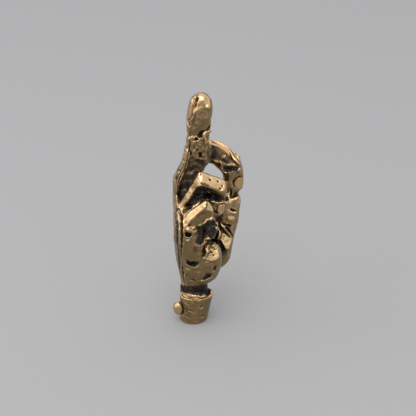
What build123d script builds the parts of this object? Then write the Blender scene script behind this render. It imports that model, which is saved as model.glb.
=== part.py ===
from build123d import *
import os
from collections import namedtuple
from math import cos, radians, sin, tan

# A cast brass hand on a buttoned cuff, in millimetres. +Z runs up the raised finger, +X is the side
# that the palm faces, and -Y is the side of the little finger. The origin is the middle of the foot.

# Seams where the pieces meet
SEAM = 0.05
FINGER_GAP = 0.08

# Cuff, the tapered sleeve that the charm stands on
CUFF_HEIGHT = 5.4
FOOT_LENGTH = 5.0
FOOT_WIDTH = 4.7
RIM_LENGTH = 6.1
RIM_WIDTH = 4.8
RIM_SHIFT = 0.75
FOOT_EDGE = 0.25
CUFF_WALL = 0.5
SOCKET_DEPTH = 1.4

# Wrist, which stands in the cuff's socket with a groove all round
WRIST_GROOVE = 0.15
WRIST_SHOW = 2.9

# Button, an egg half sunk in the cuff's side
BUTTON_WIDTH = 2.0
BUTTON_LENGTH = 2.7
BUTTON_HEIGHT = 2.75
BUTTON_TURN = 197
BUTTON_PROUD = 0.35

# Palm and back of the hand, from the heel above the wrist up to the slanted line of knuckles.
# The fingers are set towards the little finger's side, so that the charm balances on its foot.
HAND_SHIFT = -0.8
PALM_LENGTH = 17.6
HEEL_THICKNESS = 5.3
HEEL_WIDTH = 4.5
PALM_RISE = 6.2
PALM_THICKNESS = 5.0
PALM_WIDTH = 9.0
PALM_SHIFT = 0.2
UPPER_WIDTH = 11.6
KNUCKLE_THICKNESS = 4.4
KNUCKLE_SHIFT = -0.4
KNUCKLE_SLANT = 22
KNUCKLE_ROUND = 1.2
HAND_CORNER = 1.7
HAND_MARGIN = 0.25
BACK_PLANE = -1.2

# Pad at the heel of the hand, below the little finger
PAD_LENGTH = 9.4
PAD_THICKNESS = 6.2
PAD_WIDTH = 5.6
PAD_FOOT_X = 1.9
PAD_TOP_X = 2.9
PAD_FOOT_Y = -0.8
PAD_TOP_Y = -2.9
PAD_SQUARENESS = 2.4
PAD_STATIONS = (0.03, 0.2, 0.5, 0.8, 0.97)

# Raised finger: its knuckle, the length and slope of each bone, and half sizes at its root and tip
RAISED_X = -0.35
RAISED_RISE = 0.9
RAISED_FIRST = 6.75
RAISED_SECOND = 4.6
RAISED_THIRD = 6.4
RAISED_SLOPES = (71, 84.5, 81.5)
RAISED_HALF_WIDTH = 1.55
RAISED_HALF_DEPTH = 2.2
RAISED_TIP_HALF_WIDTH = 1.65
RAISED_TIP_HALF_DEPTH = 1.9

# Arched finger, bent over to meet the thumb
ARCHED_X = -0.2
ARCHED_RISE = -0.85
ARCHED_FIRST = 7.4
ARCHED_SECOND = 6.1
ARCHED_THIRD = 5.1
ARCHED_SLOPES = (59, -47, -84)
ARCHED_HALF_WIDTH = 1.45
ARCHED_HALF_DEPTH = 2.05
ARCHED_TIP_HALF_WIDTH = 1.5
ARCHED_TIP_HALF_DEPTH = 1.7

# Ring finger, curled in front
RING_X = -0.15
RING_RISE = -0.6
RING_FIRST = 5.75
RING_SECOND = 3.05
RING_THIRD = 5.8
RING_SLOPES = (60, -24, -100)
RING_HALF_WIDTH = 1.45
RING_HALF_DEPTH = 1.5
RING_TIP_HALF_WIDTH = 1.3
RING_TIP_HALF_DEPTH = 1.3

# Little finger, curled in front with its tip in the palm
LITTLE_X = 0.0
LITTLE_RISE = -1.7
LITTLE_FIRST = 3.8
LITTLE_SECOND = 2.5
LITTLE_THIRD = 2.6
LITTLE_SLOPES = (43, -66, -106)
LITTLE_HALF_WIDTH = 1.35
LITTLE_HALF_DEPTH = 1.25
LITTLE_TIP_HALF_WIDTH = 1.2
LITTLE_TIP_HALF_DEPTH = 1.15

# Thumb, from inside the heel of the hand. MEET places its tip from the arched finger's tip.
THUMB_X = 2.6
THUMB_Y = 1.3
THUMB_RISE = 1.6
THUMB_FIRST = 4.4
THUMB_SECOND = 5.2
THUMB_SLOPES = (51.5, 73.8)
THUMB_SPLAY = 8
THUMB_MEET_X = -0.25
THUMB_MEET_Y = -0.6
THUMB_MEET_Z = 0.5
THUMB_HALF_WIDTH = 2.0
THUMB_HALF_DEPTH = 2.2
THUMB_TIP_HALF_WIDTH = 1.4
THUMB_TIP_HALF_DEPTH = 1.45

# Web between the thumb and the palm
WEB_WIDTH = 2.0
WEB_FOOT_RISE = 2.0
WEB_TOP_DROP = -1.1
WEB_THUMB_SHARE = 0.8
WEB_SAG = 0.2
WEB_EDGE = 0.6

# Shape of every digit along its length
ROOT_DEPTH = 2.2
ROOT_SHARE = 0.7
JOINT_SWELL = 1.05
BONE_WAIST = 0.96
BEND_RADIUS = 2.1
TIP_DOME = ((1.0, 1.0), (0.5, 0.866), (0.134, 0.5))
DIGIT_CORNER_SHARE = 0.7
DIGIT_SQUARENESS = 3.0
ROUND_CLEAR = 0.3
MITRE_REACH = 2.0

# Flats pared along the edges of the curled fingers. ROLL is the turn from the finger's back
# towards +Y.
RING_FIRST_PARE = 0.4
RING_FIRST_PARE_ROLL = -36
RING_SECOND_PARE = 0.5
RING_SECOND_PARE_ROLL = -40
LITTLE_FIRST_PARE = 0.4
LITTLE_FIRST_PARE_ROLL = -42

# Creases round the raised finger, below its tip and at its middle joint. TILT lifts a crease
# towards the palm's side.
CREASE_WIDTH = 0.6
CREASE_DEPTH = 0.3
TIP_CREASE_PLACE = 0.02
TIP_CREASE_TILT = 42
JOINT_CREASE_PLACE = 0.1
JOINT_CREASE_TILT = -8

# Nails, each an oval plate let into the finger. PLACE is the share along the last bone, and ROLL
# the turn from the finger's back towards +Y.
NAIL_RISE = 0.12
NAIL_DEPTH = 0.45
NAIL_CLEAR = 1.0
RAISED_NAIL_LENGTH = 4.2
RAISED_NAIL_WIDTH = 2.2
RAISED_NAIL_PLACE = 0.52
RAISED_NAIL_ROLL = -14
ARCHED_NAIL_LENGTH = 2.2
ARCHED_NAIL_WIDTH = 1.7
ARCHED_NAIL_PLACE = 0.45
ARCHED_NAIL_ROLL = -55
RING_NAIL_LENGTH = 1.9
RING_NAIL_WIDTH = 1.6
RING_NAIL_PLACE = 0.62
RING_NAIL_ROLL = -50
THUMB_NAIL_LENGTH = 2.3
THUMB_NAIL_WIDTH = 1.8
THUMB_NAIL_PLACE = 0.62
THUMB_NAIL_ROLL = 140

HEEL_Z = CUFF_HEIGHT + WRIST_SHOW
KNUCKLE_Z = HEEL_Z + PALM_LENGTH

# Lanes of the four fingers, side by side
RAISED_LANE = HAND_SHIFT + FINGER_GAP / 2 + RAISED_HALF_WIDTH * JOINT_SWELL
RING_LANE = HAND_SHIFT - FINGER_GAP / 2 - RING_HALF_WIDTH * JOINT_SWELL
ARCHED_LANE = RAISED_LANE + FINGER_GAP + (RAISED_HALF_WIDTH + ARCHED_HALF_WIDTH) * JOINT_SWELL
LITTLE_LANE = RING_LANE - FINGER_GAP - (RING_HALF_WIDTH + LITTLE_HALF_WIDTH) * JOINT_SWELL
HAND_THUMB_SIDE = ARCHED_LANE + ARCHED_HALF_WIDTH * JOINT_SWELL + HAND_MARGIN
HAND_LITTLE_SIDE = LITTLE_LANE - LITTLE_HALF_WIDTH * JOINT_SWELL - HAND_MARGIN
KNUCKLE_WIDTH = HAND_THUMB_SIDE - HAND_LITTLE_SIDE
KNUCKLE_MIDDLE = (HAND_THUMB_SIDE + HAND_LITTLE_SIDE) / 2

# A digit's middle line: all its runs, and those of them that are straight bones
Digit = namedtuple("Digit", "runs bones root_size tip_size")
FIRST_BONE, SECOND_BONE, LAST_BONE = 1, 2, 3


def bones(start, lengths, slopes, splay=0):
    """Corner points of a digit: each bone has its own slope up from +X, and all splay to +Y."""
    points = [start]
    for length, slope in zip(lengths, slopes):
        forward = Vector(cos(radians(slope)), 0, sin(radians(slope))) * cos(radians(splay))
        sideways = Vector(0, sin(radians(splay)), 0)
        points.append(points[-1] + (forward + sideways) * length)
    return points


def spine(points):
    """Edges of a digit's middle line, straight along each bone and rounded at each joint."""
    radii = []
    for before, corner, after in zip(points, points[1:], points[2:]):
        turn = (corner - before).get_angle(after - corner)
        shorter = min((corner - before).length, (after - corner).length)
        radii.append(min(BEND_RADIUS, (shorter - ROUND_CLEAR) / 2 / tan(radians(turn / 2))))
    with BuildLine() as line:
        FilletPolyline(*points, radius=radii)
    return line.wire().order_edges()


def finger_points(x, lane, rise, lengths, slopes):
    """Corner points of a finger whose first bone is buried in the hand and ends at the knuckle."""
    knuckle_z = KNUCKLE_Z + (lane - KNUCKLE_MIDDLE) * tan(radians(KNUCKLE_SLANT)) + rise
    root = Vector(x, lane, knuckle_z - ROOT_DEPTH)
    return bones(root, (ROOT_DEPTH, *lengths), (90, *slopes))


def rounded_digit(points, root_size, tip_size):
    """A digit that bends in rounded joints."""
    runs = spine(points)
    return Digit(runs, runs[::2], root_size, tip_size)


def mitred_digit(points, root_size, tip_size):
    """A digit that bends in sharp joints."""
    with BuildLine() as line:
        Polyline(*points)
    runs = line.wire().order_edges()
    return Digit(runs, runs, root_size, tip_size)


def station(run, share):
    """Plane square to the digit's middle line: X across the digit, Y out of its back."""
    along = run % share
    across = Vector(0, 1, 0) - along * along.Y
    return Plane(origin=run @ share, x_dir=across.normalized(), z_dir=along)


def digit_size(digit, share):
    """Half width and half depth of a digit, share of the way from its root to its tip."""
    return [root + (tip - root) * share for root, tip in zip(digit.root_size, digit.tip_size)]


def dome_sections(digit):
    """Planes, places along the digit and shares of its size for the sections of its domed tip."""
    tip = digit.bones[-1]
    dome = min(digit.tip_size[1] / tip.length, 1)
    return [(station(tip, 1 - dome * back), 1, share) for back, share in TIP_DOME]


def lofted(digit, sections, grow):
    """Solid through rounded sections of a digit. grow fattens it all round."""
    with BuildPart() as form:
        for plane, place, share in sections:
            half_sizes = [size * share for size in digit_size(digit, place)]
            corner = min(half_sizes) * DIGIT_CORNER_SHARE
            width, depth = [2 * (size + grow) for size in half_sizes]
            with BuildSketch(plane):
                RectangleRounded(width, depth, corner + grow)
        loft()
    return form.part


def mitre(digit, joint):
    """Plane that halves the bend at a sharp joint, facing the tip."""
    bend = digit.bones[joint] % 1 + digit.bones[joint + 1] % 0
    return Plane(digit.bones[joint] @ 1, x_dir=(0, 1, 0), z_dir=bend)


def mitred_bone(digit, index, grow):
    """One straight bone, run past its joints and cut along their mitres."""
    count = len(digit.bones)
    bone = digit.bones[index]
    past = MITRE_REACH * max(digit.root_size)
    dome = dome_sections(digit)
    start = (station(bone, 0).offset(-past if index else 0), index / count, 1 if index else ROOT_SHARE)
    end = (station(bone, 1).offset(past), (index + 1) / count, 1) if index < count - 1 else dome[0]
    with BuildPart() as form:
        add(lofted(digit, (start, end), grow))
        if index:
            split(bisect_by=mitre(digit, index - 1), keep=Keep.TOP)
        if index < count - 1:
            split(bisect_by=mitre(digit, index), keep=Keep.BOTTOM)
        else:
            add(lofted(digit, dome, grow))
    return form.part


def digit_form(digit, grow=0.0):
    """Solid of a digit with a narrow root and a domed tip, and swollen joints where they are rounded."""
    if digit.runs == digit.bones:
        with BuildPart() as form:
            for index in range(len(digit.bones)):
                add(mitred_bone(digit, index, grow))
        return form.part
    last = len(digit.runs) - 1
    sections = [(station(digit.runs[0], 0), 0, ROOT_SHARE)]
    for index, run in enumerate(digit.runs[:-1]):
        sections.append((station(run, 0.5), index / last, JOINT_SWELL if index % 2 else BONE_WAIST))
    return lofted(digit, sections + dome_sections(digit), grow)


def free_part(digit):
    """The stretch of a digit that stands out of the hand."""
    with BuildPart() as form:
        add(digit_form(digit))
        add(hand_space, mode=Mode.SUBTRACT)
    return form.solids().sort_by(SortBy.VOLUME)[-1]


def under_skin(digit, bone, share, roll, depth):
    """Plane under the skin along a bone, turned from the finger's back towards +Y by roll."""
    across = station(digit.bones[bone], share)
    side = sin(radians(roll))
    back = cos(radians(roll))
    normal = across.y_dir * back + across.x_dir * side
    half_sizes = digit_size(digit, bone / (len(digit.bones) - 1))
    reach = [abs(part / size) for part, size in zip((side, back), half_sizes)]
    skin = sum(part ** DIGIT_SQUARENESS for part in reach) ** (-1 / DIGIT_SQUARENESS)
    return Plane(across.origin + normal * (skin - depth), x_dir=across.z_dir, z_dir=normal)


def nail_plane(digit, share, roll):
    """Floor of a nail's bed on the last bone."""
    return under_skin(digit, len(digit.bones) - 1, share, roll, NAIL_DEPTH)


def crease(digit, bone, share, tilt):
    """Narrow groove all round a digit."""
    reach = 2 * sum(digit.root_size)
    with BuildPart() as groove:
        with BuildSketch(station(digit.bones[bone], share).rotated((0, -tilt, 0))):
            Rectangle(reach, reach)
        extrude(amount=CREASE_WIDTH / 2, both=True)
        add(digit_form(digit, -CREASE_DEPTH), mode=Mode.SUBTRACT)
    return groove.part


def nail_prism(plane, length, width, grow=0.0):
    """Oval prism from the floor of the nail's bed out past the skin."""
    with BuildPart() as prism:
        with BuildSketch(plane):
            Ellipse(length / 2 + grow, width / 2 + grow)
        extrude(amount=NAIL_DEPTH + NAIL_CLEAR)
    return prism.part


def hand_form(grow=0.0):
    """Palm and back of the hand as one form, with a bevelled crown above the line of knuckles."""
    heel = Plane((RIM_SHIFT, 0, HEEL_Z - grow))
    middle = Plane((PALM_SHIFT, HAND_SHIFT / 2, HEEL_Z + PALM_RISE))
    top = Plane((KNUCKLE_SHIFT, KNUCKLE_MIDDLE, KNUCKLE_Z)).rotated((KNUCKLE_SLANT, 0, 0))
    knuckles = top.offset(-KNUCKLE_ROUND)
    upper = Plane((middle.origin + knuckles.origin) / 2).rotated((KNUCKLE_SLANT / 2, 0, 0))
    slanted_width = KNUCKLE_WIDTH / cos(radians(KNUCKLE_SLANT))
    knuckle_section = (knuckles, KNUCKLE_THICKNESS, slanted_width)
    body = (
        (heel, HEEL_THICKNESS, HEEL_WIDTH),
        (middle, PALM_THICKNESS, PALM_WIDTH),
        (upper, (PALM_THICKNESS + KNUCKLE_THICKNESS) / 2, UPPER_WIDTH),
        knuckle_section,
    )
    crown = (
        knuckle_section,
        (top.offset(grow), KNUCKLE_THICKNESS - KNUCKLE_ROUND, slanted_width - 2 * KNUCKLE_ROUND),
    )
    with BuildPart() as form:
        for sections, ruled in ((body, False), (crown, True)):
            for plane, thickness, width in sections:
                corner = min(HAND_CORNER, (thickness - ROUND_CLEAR) / 2)
                with BuildSketch(plane):
                    RectangleRounded(thickness + 2 * grow, width + 2 * grow, corner + grow)
            loft(ruled=ruled)
    return form.part


def web_form(grow=0.0):
    """Web of flesh from the palm to the thumb, with a hollow upper edge."""
    foot = (PALM_SHIFT, HEEL_Z + WEB_FOOT_RISE)
    top = (KNUCKLE_SHIFT, KNUCKLE_Z - WEB_TOP_DROP)
    low = (thumb_points[1].X, thumb_points[1].Z)
    reach = thumb_points[2] + (thumb_points[3] - thumb_points[2]) * WEB_THUMB_SHARE
    high = (reach.X, reach.Z)
    hollow = ((top[0] + high[0]) / 2 - WEB_SAG, (top[1] + high[1]) / 2 - WEB_SAG)
    middle_y = (thumb_points[1].Y + reach.Y) / 2
    with BuildPart() as form:
        with BuildSketch(Plane.XZ.offset(-middle_y)):
            with BuildLine():
                Polyline(top, foot, low, high)
                ThreePointArc(high, hollow, top)
            make_face()
        extrude(amount=WEB_WIDTH / 2 + grow, both=True)
        fillet(form.edges().filter_by(GeomType.CIRCLE), WEB_EDGE)
    return form.part


def cuff_section(z, inset=0.0):
    """Plane and half sizes of the cuff's oval at height z, drawn in by inset."""
    share = z / CUFF_HEIGHT
    half_length = (FOOT_LENGTH + (RIM_LENGTH - FOOT_LENGTH) * share) / 2 - inset
    half_width = (FOOT_WIDTH + (RIM_WIDTH - FOOT_WIDTH) * share) / 2 - inset
    return Plane((RIM_SHIFT * share, 0, z)), half_length, half_width


def cuff_form(bottom, top, inset=0.0):
    """Tapered oval block between two heights of the cuff, drawn in by inset."""
    with BuildPart() as form:
        for z in (bottom, top):
            plane, half_length, half_width = cuff_section(z, inset)
            with BuildSketch(plane):
                Ellipse(half_length, half_width)
        loft(ruled=True)
    return form.part


def button_form(grow=0.0):
    """Egg of the button, upright in the cuff's side."""
    with BuildPart() as form:
        with BuildSketch(Plane(button_centre, x_dir=(1, 0, 0), z_dir=(0, -1, 0))):
            Ellipse(BUTTON_WIDTH / 2 + grow, BUTTON_LENGTH / 2 + grow)
            split(bisect_by=Plane.YZ, keep=Keep.TOP)
        revolve(axis=Axis(button_centre, (0, 0, 1)))
    return form.part


raised = rounded_digit(
    finger_points(
        RAISED_X, RAISED_LANE, RAISED_RISE, (RAISED_FIRST, RAISED_SECOND, RAISED_THIRD), RAISED_SLOPES),
    (RAISED_HALF_WIDTH, RAISED_HALF_DEPTH), (RAISED_TIP_HALF_WIDTH, RAISED_TIP_HALF_DEPTH),
)
arched = rounded_digit(
    finger_points(
        ARCHED_X, ARCHED_LANE, ARCHED_RISE, (ARCHED_FIRST, ARCHED_SECOND, ARCHED_THIRD), ARCHED_SLOPES),
    (ARCHED_HALF_WIDTH, ARCHED_HALF_DEPTH), (ARCHED_TIP_HALF_WIDTH, ARCHED_TIP_HALF_DEPTH),
)
ring = mitred_digit(
    finger_points(RING_X, RING_LANE, RING_RISE, (RING_FIRST, RING_SECOND, RING_THIRD), RING_SLOPES),
    (RING_HALF_WIDTH, RING_HALF_DEPTH), (RING_TIP_HALF_WIDTH, RING_TIP_HALF_DEPTH),
)
little = mitred_digit(
    finger_points(
        LITTLE_X, LITTLE_LANE, LITTLE_RISE, (LITTLE_FIRST, LITTLE_SECOND, LITTLE_THIRD), LITTLE_SLOPES),
    (LITTLE_HALF_WIDTH, LITTLE_HALF_DEPTH), (LITTLE_TIP_HALF_WIDTH, LITTLE_TIP_HALF_DEPTH),
)
thumb_points = bones(
    Vector(THUMB_X, THUMB_Y, HEEL_Z + THUMB_RISE), (THUMB_FIRST, THUMB_SECOND), THUMB_SLOPES, THUMB_SPLAY,
)
thumb_points.append(arched.runs[-1] @ 1 + Vector(THUMB_MEET_X, THUMB_MEET_Y, THUMB_MEET_Z))
opposed = rounded_digit(
    thumb_points, (THUMB_HALF_WIDTH, THUMB_HALF_DEPTH), (THUMB_TIP_HALF_WIDTH, THUMB_TIP_HALF_DEPTH),
)

# What the hand, the thumb and the arched finger keep free of their neighbours
hand_space = hand_form(SEAM)
thumb_space = digit_form(opposed, SEAM)
arched_space = digit_form(arched, SEAM)

raised_bed = nail_plane(raised, RAISED_NAIL_PLACE, RAISED_NAIL_ROLL)
arched_bed = nail_plane(arched, ARCHED_NAIL_PLACE, ARCHED_NAIL_ROLL)
ring_bed = nail_plane(ring, RING_NAIL_PLACE, RING_NAIL_ROLL)
thumb_bed = nail_plane(opposed, THUMB_NAIL_PLACE, THUMB_NAIL_ROLL)

# Flats of the curled fingers
ring_flats = (
    under_skin(ring, FIRST_BONE, 0.5, RING_FIRST_PARE_ROLL, RING_FIRST_PARE),
    under_skin(ring, SECOND_BONE, 0.5, RING_SECOND_PARE_ROLL, RING_SECOND_PARE),
)
little_flat = under_skin(little, FIRST_BONE, 0.5, LITTLE_FIRST_PARE_ROLL, LITTLE_FIRST_PARE)

# Cuff: a tapered sleeve with a socket in its top and a cup for the button in its side
socket_floor = CUFF_HEIGHT - SOCKET_DEPTH
button_plane, button_x, button_y = cuff_section(BUTTON_HEIGHT)
button_out = Vector(cos(radians(BUTTON_TURN)), sin(radians(BUTTON_TURN)), 0)
button_skin = Vector(button_x * button_out.X, button_y * button_out.Y, 0)
button_centre = button_plane.origin + button_skin + button_out * BUTTON_PROUD
with BuildPart() as cuff:
    add(cuff_form(0, CUFF_HEIGHT))
    fillet(cuff.edges().group_by(Axis.Z)[0], FOOT_EDGE)
    add(cuff_form(socket_floor, CUFF_HEIGHT, CUFF_WALL), mode=Mode.SUBTRACT)
    add(button_form(SEAM), mode=Mode.SUBTRACT)

with BuildPart() as cuff_button:
    add(button_form())

# Wrist: an oval stub from the socket's floor up to the heel of the hand
wrist_plane, wrist_half_length, wrist_half_width = cuff_section(socket_floor, CUFF_WALL + WRIST_GROOVE)
with BuildPart() as wrist:
    with BuildSketch(wrist_plane):
        Ellipse(wrist_half_length, wrist_half_width)
    extrude(amount=HEEL_Z - socket_floor)

# Palm and back of the hand, parted along the groove down the hand's edge
groove = Plane.YZ.offset(BACK_PLANE)
with BuildPart() as palm:
    add(hand_form())
    split(bisect_by=groove, keep=Keep.TOP)

with BuildPart() as back_of_hand:
    add(hand_form())
    split(bisect_by=groove, keep=Keep.BOTTOM)

# Digits, each trimmed where it grows out of the hand and cut for its nail
with BuildPart() as raised_finger:
    add(free_part(raised))
    add(crease(raised, LAST_BONE, TIP_CREASE_PLACE, TIP_CREASE_TILT), mode=Mode.SUBTRACT)
    add(crease(raised, SECOND_BONE, JOINT_CREASE_PLACE, JOINT_CREASE_TILT), mode=Mode.SUBTRACT)
    add(nail_prism(raised_bed, RAISED_NAIL_LENGTH, RAISED_NAIL_WIDTH, SEAM), mode=Mode.SUBTRACT)

with BuildPart() as raised_finger_nail:
    add(digit_form(raised, NAIL_RISE))
    add(nail_prism(raised_bed, RAISED_NAIL_LENGTH, RAISED_NAIL_WIDTH), mode=Mode.INTERSECT)

with BuildPart() as arched_finger:
    add(free_part(arched))
    add(nail_prism(arched_bed, ARCHED_NAIL_LENGTH, ARCHED_NAIL_WIDTH, SEAM), mode=Mode.SUBTRACT)

with BuildPart() as arched_finger_nail:
    add(digit_form(arched, NAIL_RISE))
    add(nail_prism(arched_bed, ARCHED_NAIL_LENGTH, ARCHED_NAIL_WIDTH), mode=Mode.INTERSECT)

with BuildPart() as ring_finger:
    add(free_part(ring))
    for flat in ring_flats:
        split(bisect_by=flat, keep=Keep.BOTTOM)
    add(nail_prism(ring_bed, RING_NAIL_LENGTH, RING_NAIL_WIDTH, SEAM), mode=Mode.SUBTRACT)

with BuildPart() as ring_finger_nail:
    add(digit_form(ring, NAIL_RISE))
    add(nail_prism(ring_bed, RING_NAIL_LENGTH, RING_NAIL_WIDTH), mode=Mode.INTERSECT)

with BuildPart() as little_finger:
    add(free_part(little))
    split(bisect_by=little_flat, keep=Keep.BOTTOM)

with BuildPart() as thumb:
    add(free_part(opposed))
    add(arched_space, mode=Mode.SUBTRACT)
    add(nail_prism(thumb_bed, THUMB_NAIL_LENGTH, THUMB_NAIL_WIDTH, SEAM), mode=Mode.SUBTRACT)

with BuildPart() as thumb_nail:
    add(digit_form(opposed, NAIL_RISE))
    add(nail_prism(thumb_bed, THUMB_NAIL_LENGTH, THUMB_NAIL_WIDTH), mode=Mode.INTERSECT)

# Web: what the palm and the thumb leave of its block
with BuildPart() as web_block:
    add(web_form())
    for space in (hand_space, thumb_space, arched_space, digit_form(raised, SEAM)):
        add(space, mode=Mode.SUBTRACT)

with BuildPart() as thumb_web:
    add(web_block.solids().sort_by(SortBy.VOLUME)[-1])

# Heel pad: an egg that leans out of the palm
with BuildPart() as heel_pad:
    for share in PAD_STATIONS:
        round_share = (1 - abs(2 * share - 1) ** PAD_SQUARENESS) ** (1 / PAD_SQUARENESS)
        x = PAD_FOOT_X + (PAD_TOP_X - PAD_FOOT_X) * share
        y = PAD_FOOT_Y + (PAD_TOP_Y - PAD_FOOT_Y) * share
        with BuildSketch(Plane((x, y, HEEL_Z + PAD_LENGTH * share))):
            Ellipse(PAD_THICKNESS / 2 * round_share, PAD_WIDTH / 2 * round_share)
    loft()
    for space in (hand_space, thumb_space, web_form(SEAM)):
        add(space, mode=Mode.SUBTRACT)

pieces = {
    "cuff": cuff, "cuff_button": cuff_button, "wrist": wrist, "palm": palm, "back_of_hand": back_of_hand,
    "heel_pad": heel_pad, "raised_finger": raised_finger, "raised_finger_nail": raised_finger_nail,
    "arched_finger": arched_finger, "arched_finger_nail": arched_finger_nail, "ring_finger": ring_finger,
    "ring_finger_nail": ring_finger_nail, "little_finger": little_finger, "thumb": thumb,
    "thumb_nail": thumb_nail, "thumb_web": thumb_web,
}
os.makedirs("parts", exist_ok=True)
for name, piece in pieces.items():
    piece.part.label = name
    export_step(piece.part, f"parts/{name}.step")
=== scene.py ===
from collections import namedtuple
from math import cos, radians, sin

import bpy
import numpy as np
from mathutils import Matrix, Vector, noise
from mathutils.bvhtree import BVHTree
from mathutils.geometry import tessellate_polygon
from mathutils.kdtree import KDTree


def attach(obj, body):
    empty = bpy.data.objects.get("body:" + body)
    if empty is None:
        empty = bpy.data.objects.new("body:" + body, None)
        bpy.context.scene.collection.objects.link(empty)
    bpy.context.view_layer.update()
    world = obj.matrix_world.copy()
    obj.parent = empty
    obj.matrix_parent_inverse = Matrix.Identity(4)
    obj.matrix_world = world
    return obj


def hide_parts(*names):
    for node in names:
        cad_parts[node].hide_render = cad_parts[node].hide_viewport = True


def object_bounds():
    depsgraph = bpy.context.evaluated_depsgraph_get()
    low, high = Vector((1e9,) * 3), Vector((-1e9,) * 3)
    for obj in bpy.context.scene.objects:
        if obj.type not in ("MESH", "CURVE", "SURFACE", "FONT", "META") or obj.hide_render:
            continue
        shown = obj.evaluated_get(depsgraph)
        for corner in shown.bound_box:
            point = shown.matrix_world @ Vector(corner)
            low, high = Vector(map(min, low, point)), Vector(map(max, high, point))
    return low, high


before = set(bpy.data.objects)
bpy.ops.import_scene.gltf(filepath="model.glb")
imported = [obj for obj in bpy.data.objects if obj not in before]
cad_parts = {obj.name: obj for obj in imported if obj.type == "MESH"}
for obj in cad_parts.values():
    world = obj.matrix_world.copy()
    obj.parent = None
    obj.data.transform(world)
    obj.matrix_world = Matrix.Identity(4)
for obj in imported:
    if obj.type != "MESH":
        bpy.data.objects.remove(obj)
CAD_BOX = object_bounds()

# A cast brass hand charm. The pieces of its wax pattern are joined and worked as one surface, in
# millimetres, then parted again into one piece for each node. Points of the picture are pixels.
MM = 0.001

# The photograph's camera
EYE = np.array((3.39, -207.4, 141.05))
PITCH = 29.66
ROLL = -2.1
FOCAL_PIXELS = 1366
PICTURE_PIXELS = 416
PIXEL_MM = 0.18
SENSOR_MM = 36
NEAREST_SEEN = 0.01

# Fineness of the worked surface
WAX_VOXEL = 0.12
CAST_VOXEL = 0.085
TRIM_VOXEL = 0.06
ROUND_SHARE = 0.5
WAX_ROUNDING = 4
CAST_ROUNDING = 2
TIP_ROUNDING = 110
TINY = 1e-12

# Flats that are pared, wax that is added behind them, and walls of hollows
PARE_REACH = 1.6
PARE_ROUNDING = 3
FILL_DEPTH = 3.2
WALL_ROUNDING = 6

# The raised finger's round end
TIP_SLOPE = 81.5
DOME_SLICE = 0.05
DOME_DROP = 0.36
DOME_REACH = 3.0
DOME_FADE = 2.2

# Unevenness that the mould leaves on the metal
LUMP_DEPTH = 0.2
LUMP_SIZE = 1.5
LUMP_DETAIL = 1.0
GRAIN_DEPTH = 0.08
GRAIN_SIZE = 0.5
GRAIN_DETAIL = 4.0
GRAIN_HARSHNESS = 0.62
GRAIN_SEED = 7
PIT_DEPTH = 0.19
PIT_CELL = 1.0
PIT_SHARE = 0.33
PIT_LEAST_RADIUS = 0.11
PIT_RADIUS_SPREAD = 0.2
PIT_FLOOR = 0.8
ROUGH_GRAIN = 3
ROUGH_PITS = 0.4
TRIM_LUMP_DEPTH = 0.04
TRIM_GRAIN_DEPTH = 0.02

# Unsteadiness of the hand that cut the lines
WOBBLE = 0.12
WOBBLE_SIZE = 0.9
WOBBLE_SEED = 5
EDGE_WOBBLE = 0.16
EDGE_WOBBLE_SIZE = 0.6
HOLLOW_UNEVENNESS = 0.7
WIDTH_UNEVENNESS = 0.6
END_WIDTH = 0.4
END_SHARE = 0.25
SHORT_LINE = 4

# How lines and areas of the picture are laid on the surface
LINE_STEP = 0.12
LINE_REACH = 2.5
LINE_FACING = 0.35
SIGHT_LIFT = 0.1
SIGHT_CLEARANCE = 0.05

# How the dark patina settles, and the painted shade that is laid on with it
SHADE_VOXEL = 0.3
SHADE_RAYS = 24
SHADE_REACH = 3.5
SHADE_LIFT = 0.25
SHADE_LEAN = 1.05
SHADE_ROUNDING = 12
SHADE_SEED = 3
SMALL_STRETCH = 5
WIDE_STRETCH = 45
PATINA_IN_SHADE = 1.4
PATINA_OFF_SWELLS = 3.0
PATINA_OFF_EDGES = 8.0
PATINA_START = 0.03
PATINA_ROUNDING = 14
LINE_PATINA = 2.2
LINE_PATINA_MOST = 0.8
LINE_PATINA_WIDTH = 0.8
# Painted shade: the wrist, sunk in the cuff's socket, is darkened all round with patina colour
WRIST_PATINA_AND_SHADE = 0.85
# Painted shade: how dark the grey strokes of painted shade and painted dark reflection are
PAINTED_SHADE_MARK = 0.68
STAIN_MARK = 0.9
TRIM_PATINA_OFF_EDGES = 3

# How hands have rubbed the metal bright, and the painted light on faces that look up
WEAR_ALL_OVER = 0.32
WEAR_ON_SWELLS = 3.0
WEAR_ON_EDGES = 7.0
# Painted light: faces that look up are made brighter, as though lit from above
PAINTED_LIGHT_FROM_ABOVE = 0.5
WEAR_OFF_SHADE = 0.9
TRIM_WEAR = 0.55
TRIM_WEAR_ON_SWELLS = 2

# How the borders between the pieces settle
BORDER_ROUNDS = 12
STRAY_ROUNDS = 6
OWN_VOTE = 0.5

CAST_NODES = (
    "cuff", "wrist", "palm", "back_of_hand", "heel_pad", "thumb_web", "thumb", "arched_finger",
    "raised_finger", "ring_finger", "little_finger",
)
TRIM_NODES = (
    "cuff_button", "thumb_nail", "arched_finger_nail", "raised_finger_nail", "ring_finger_nail",
)


# Ways of looking at the charm, which place the points of a picture on its surface

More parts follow.
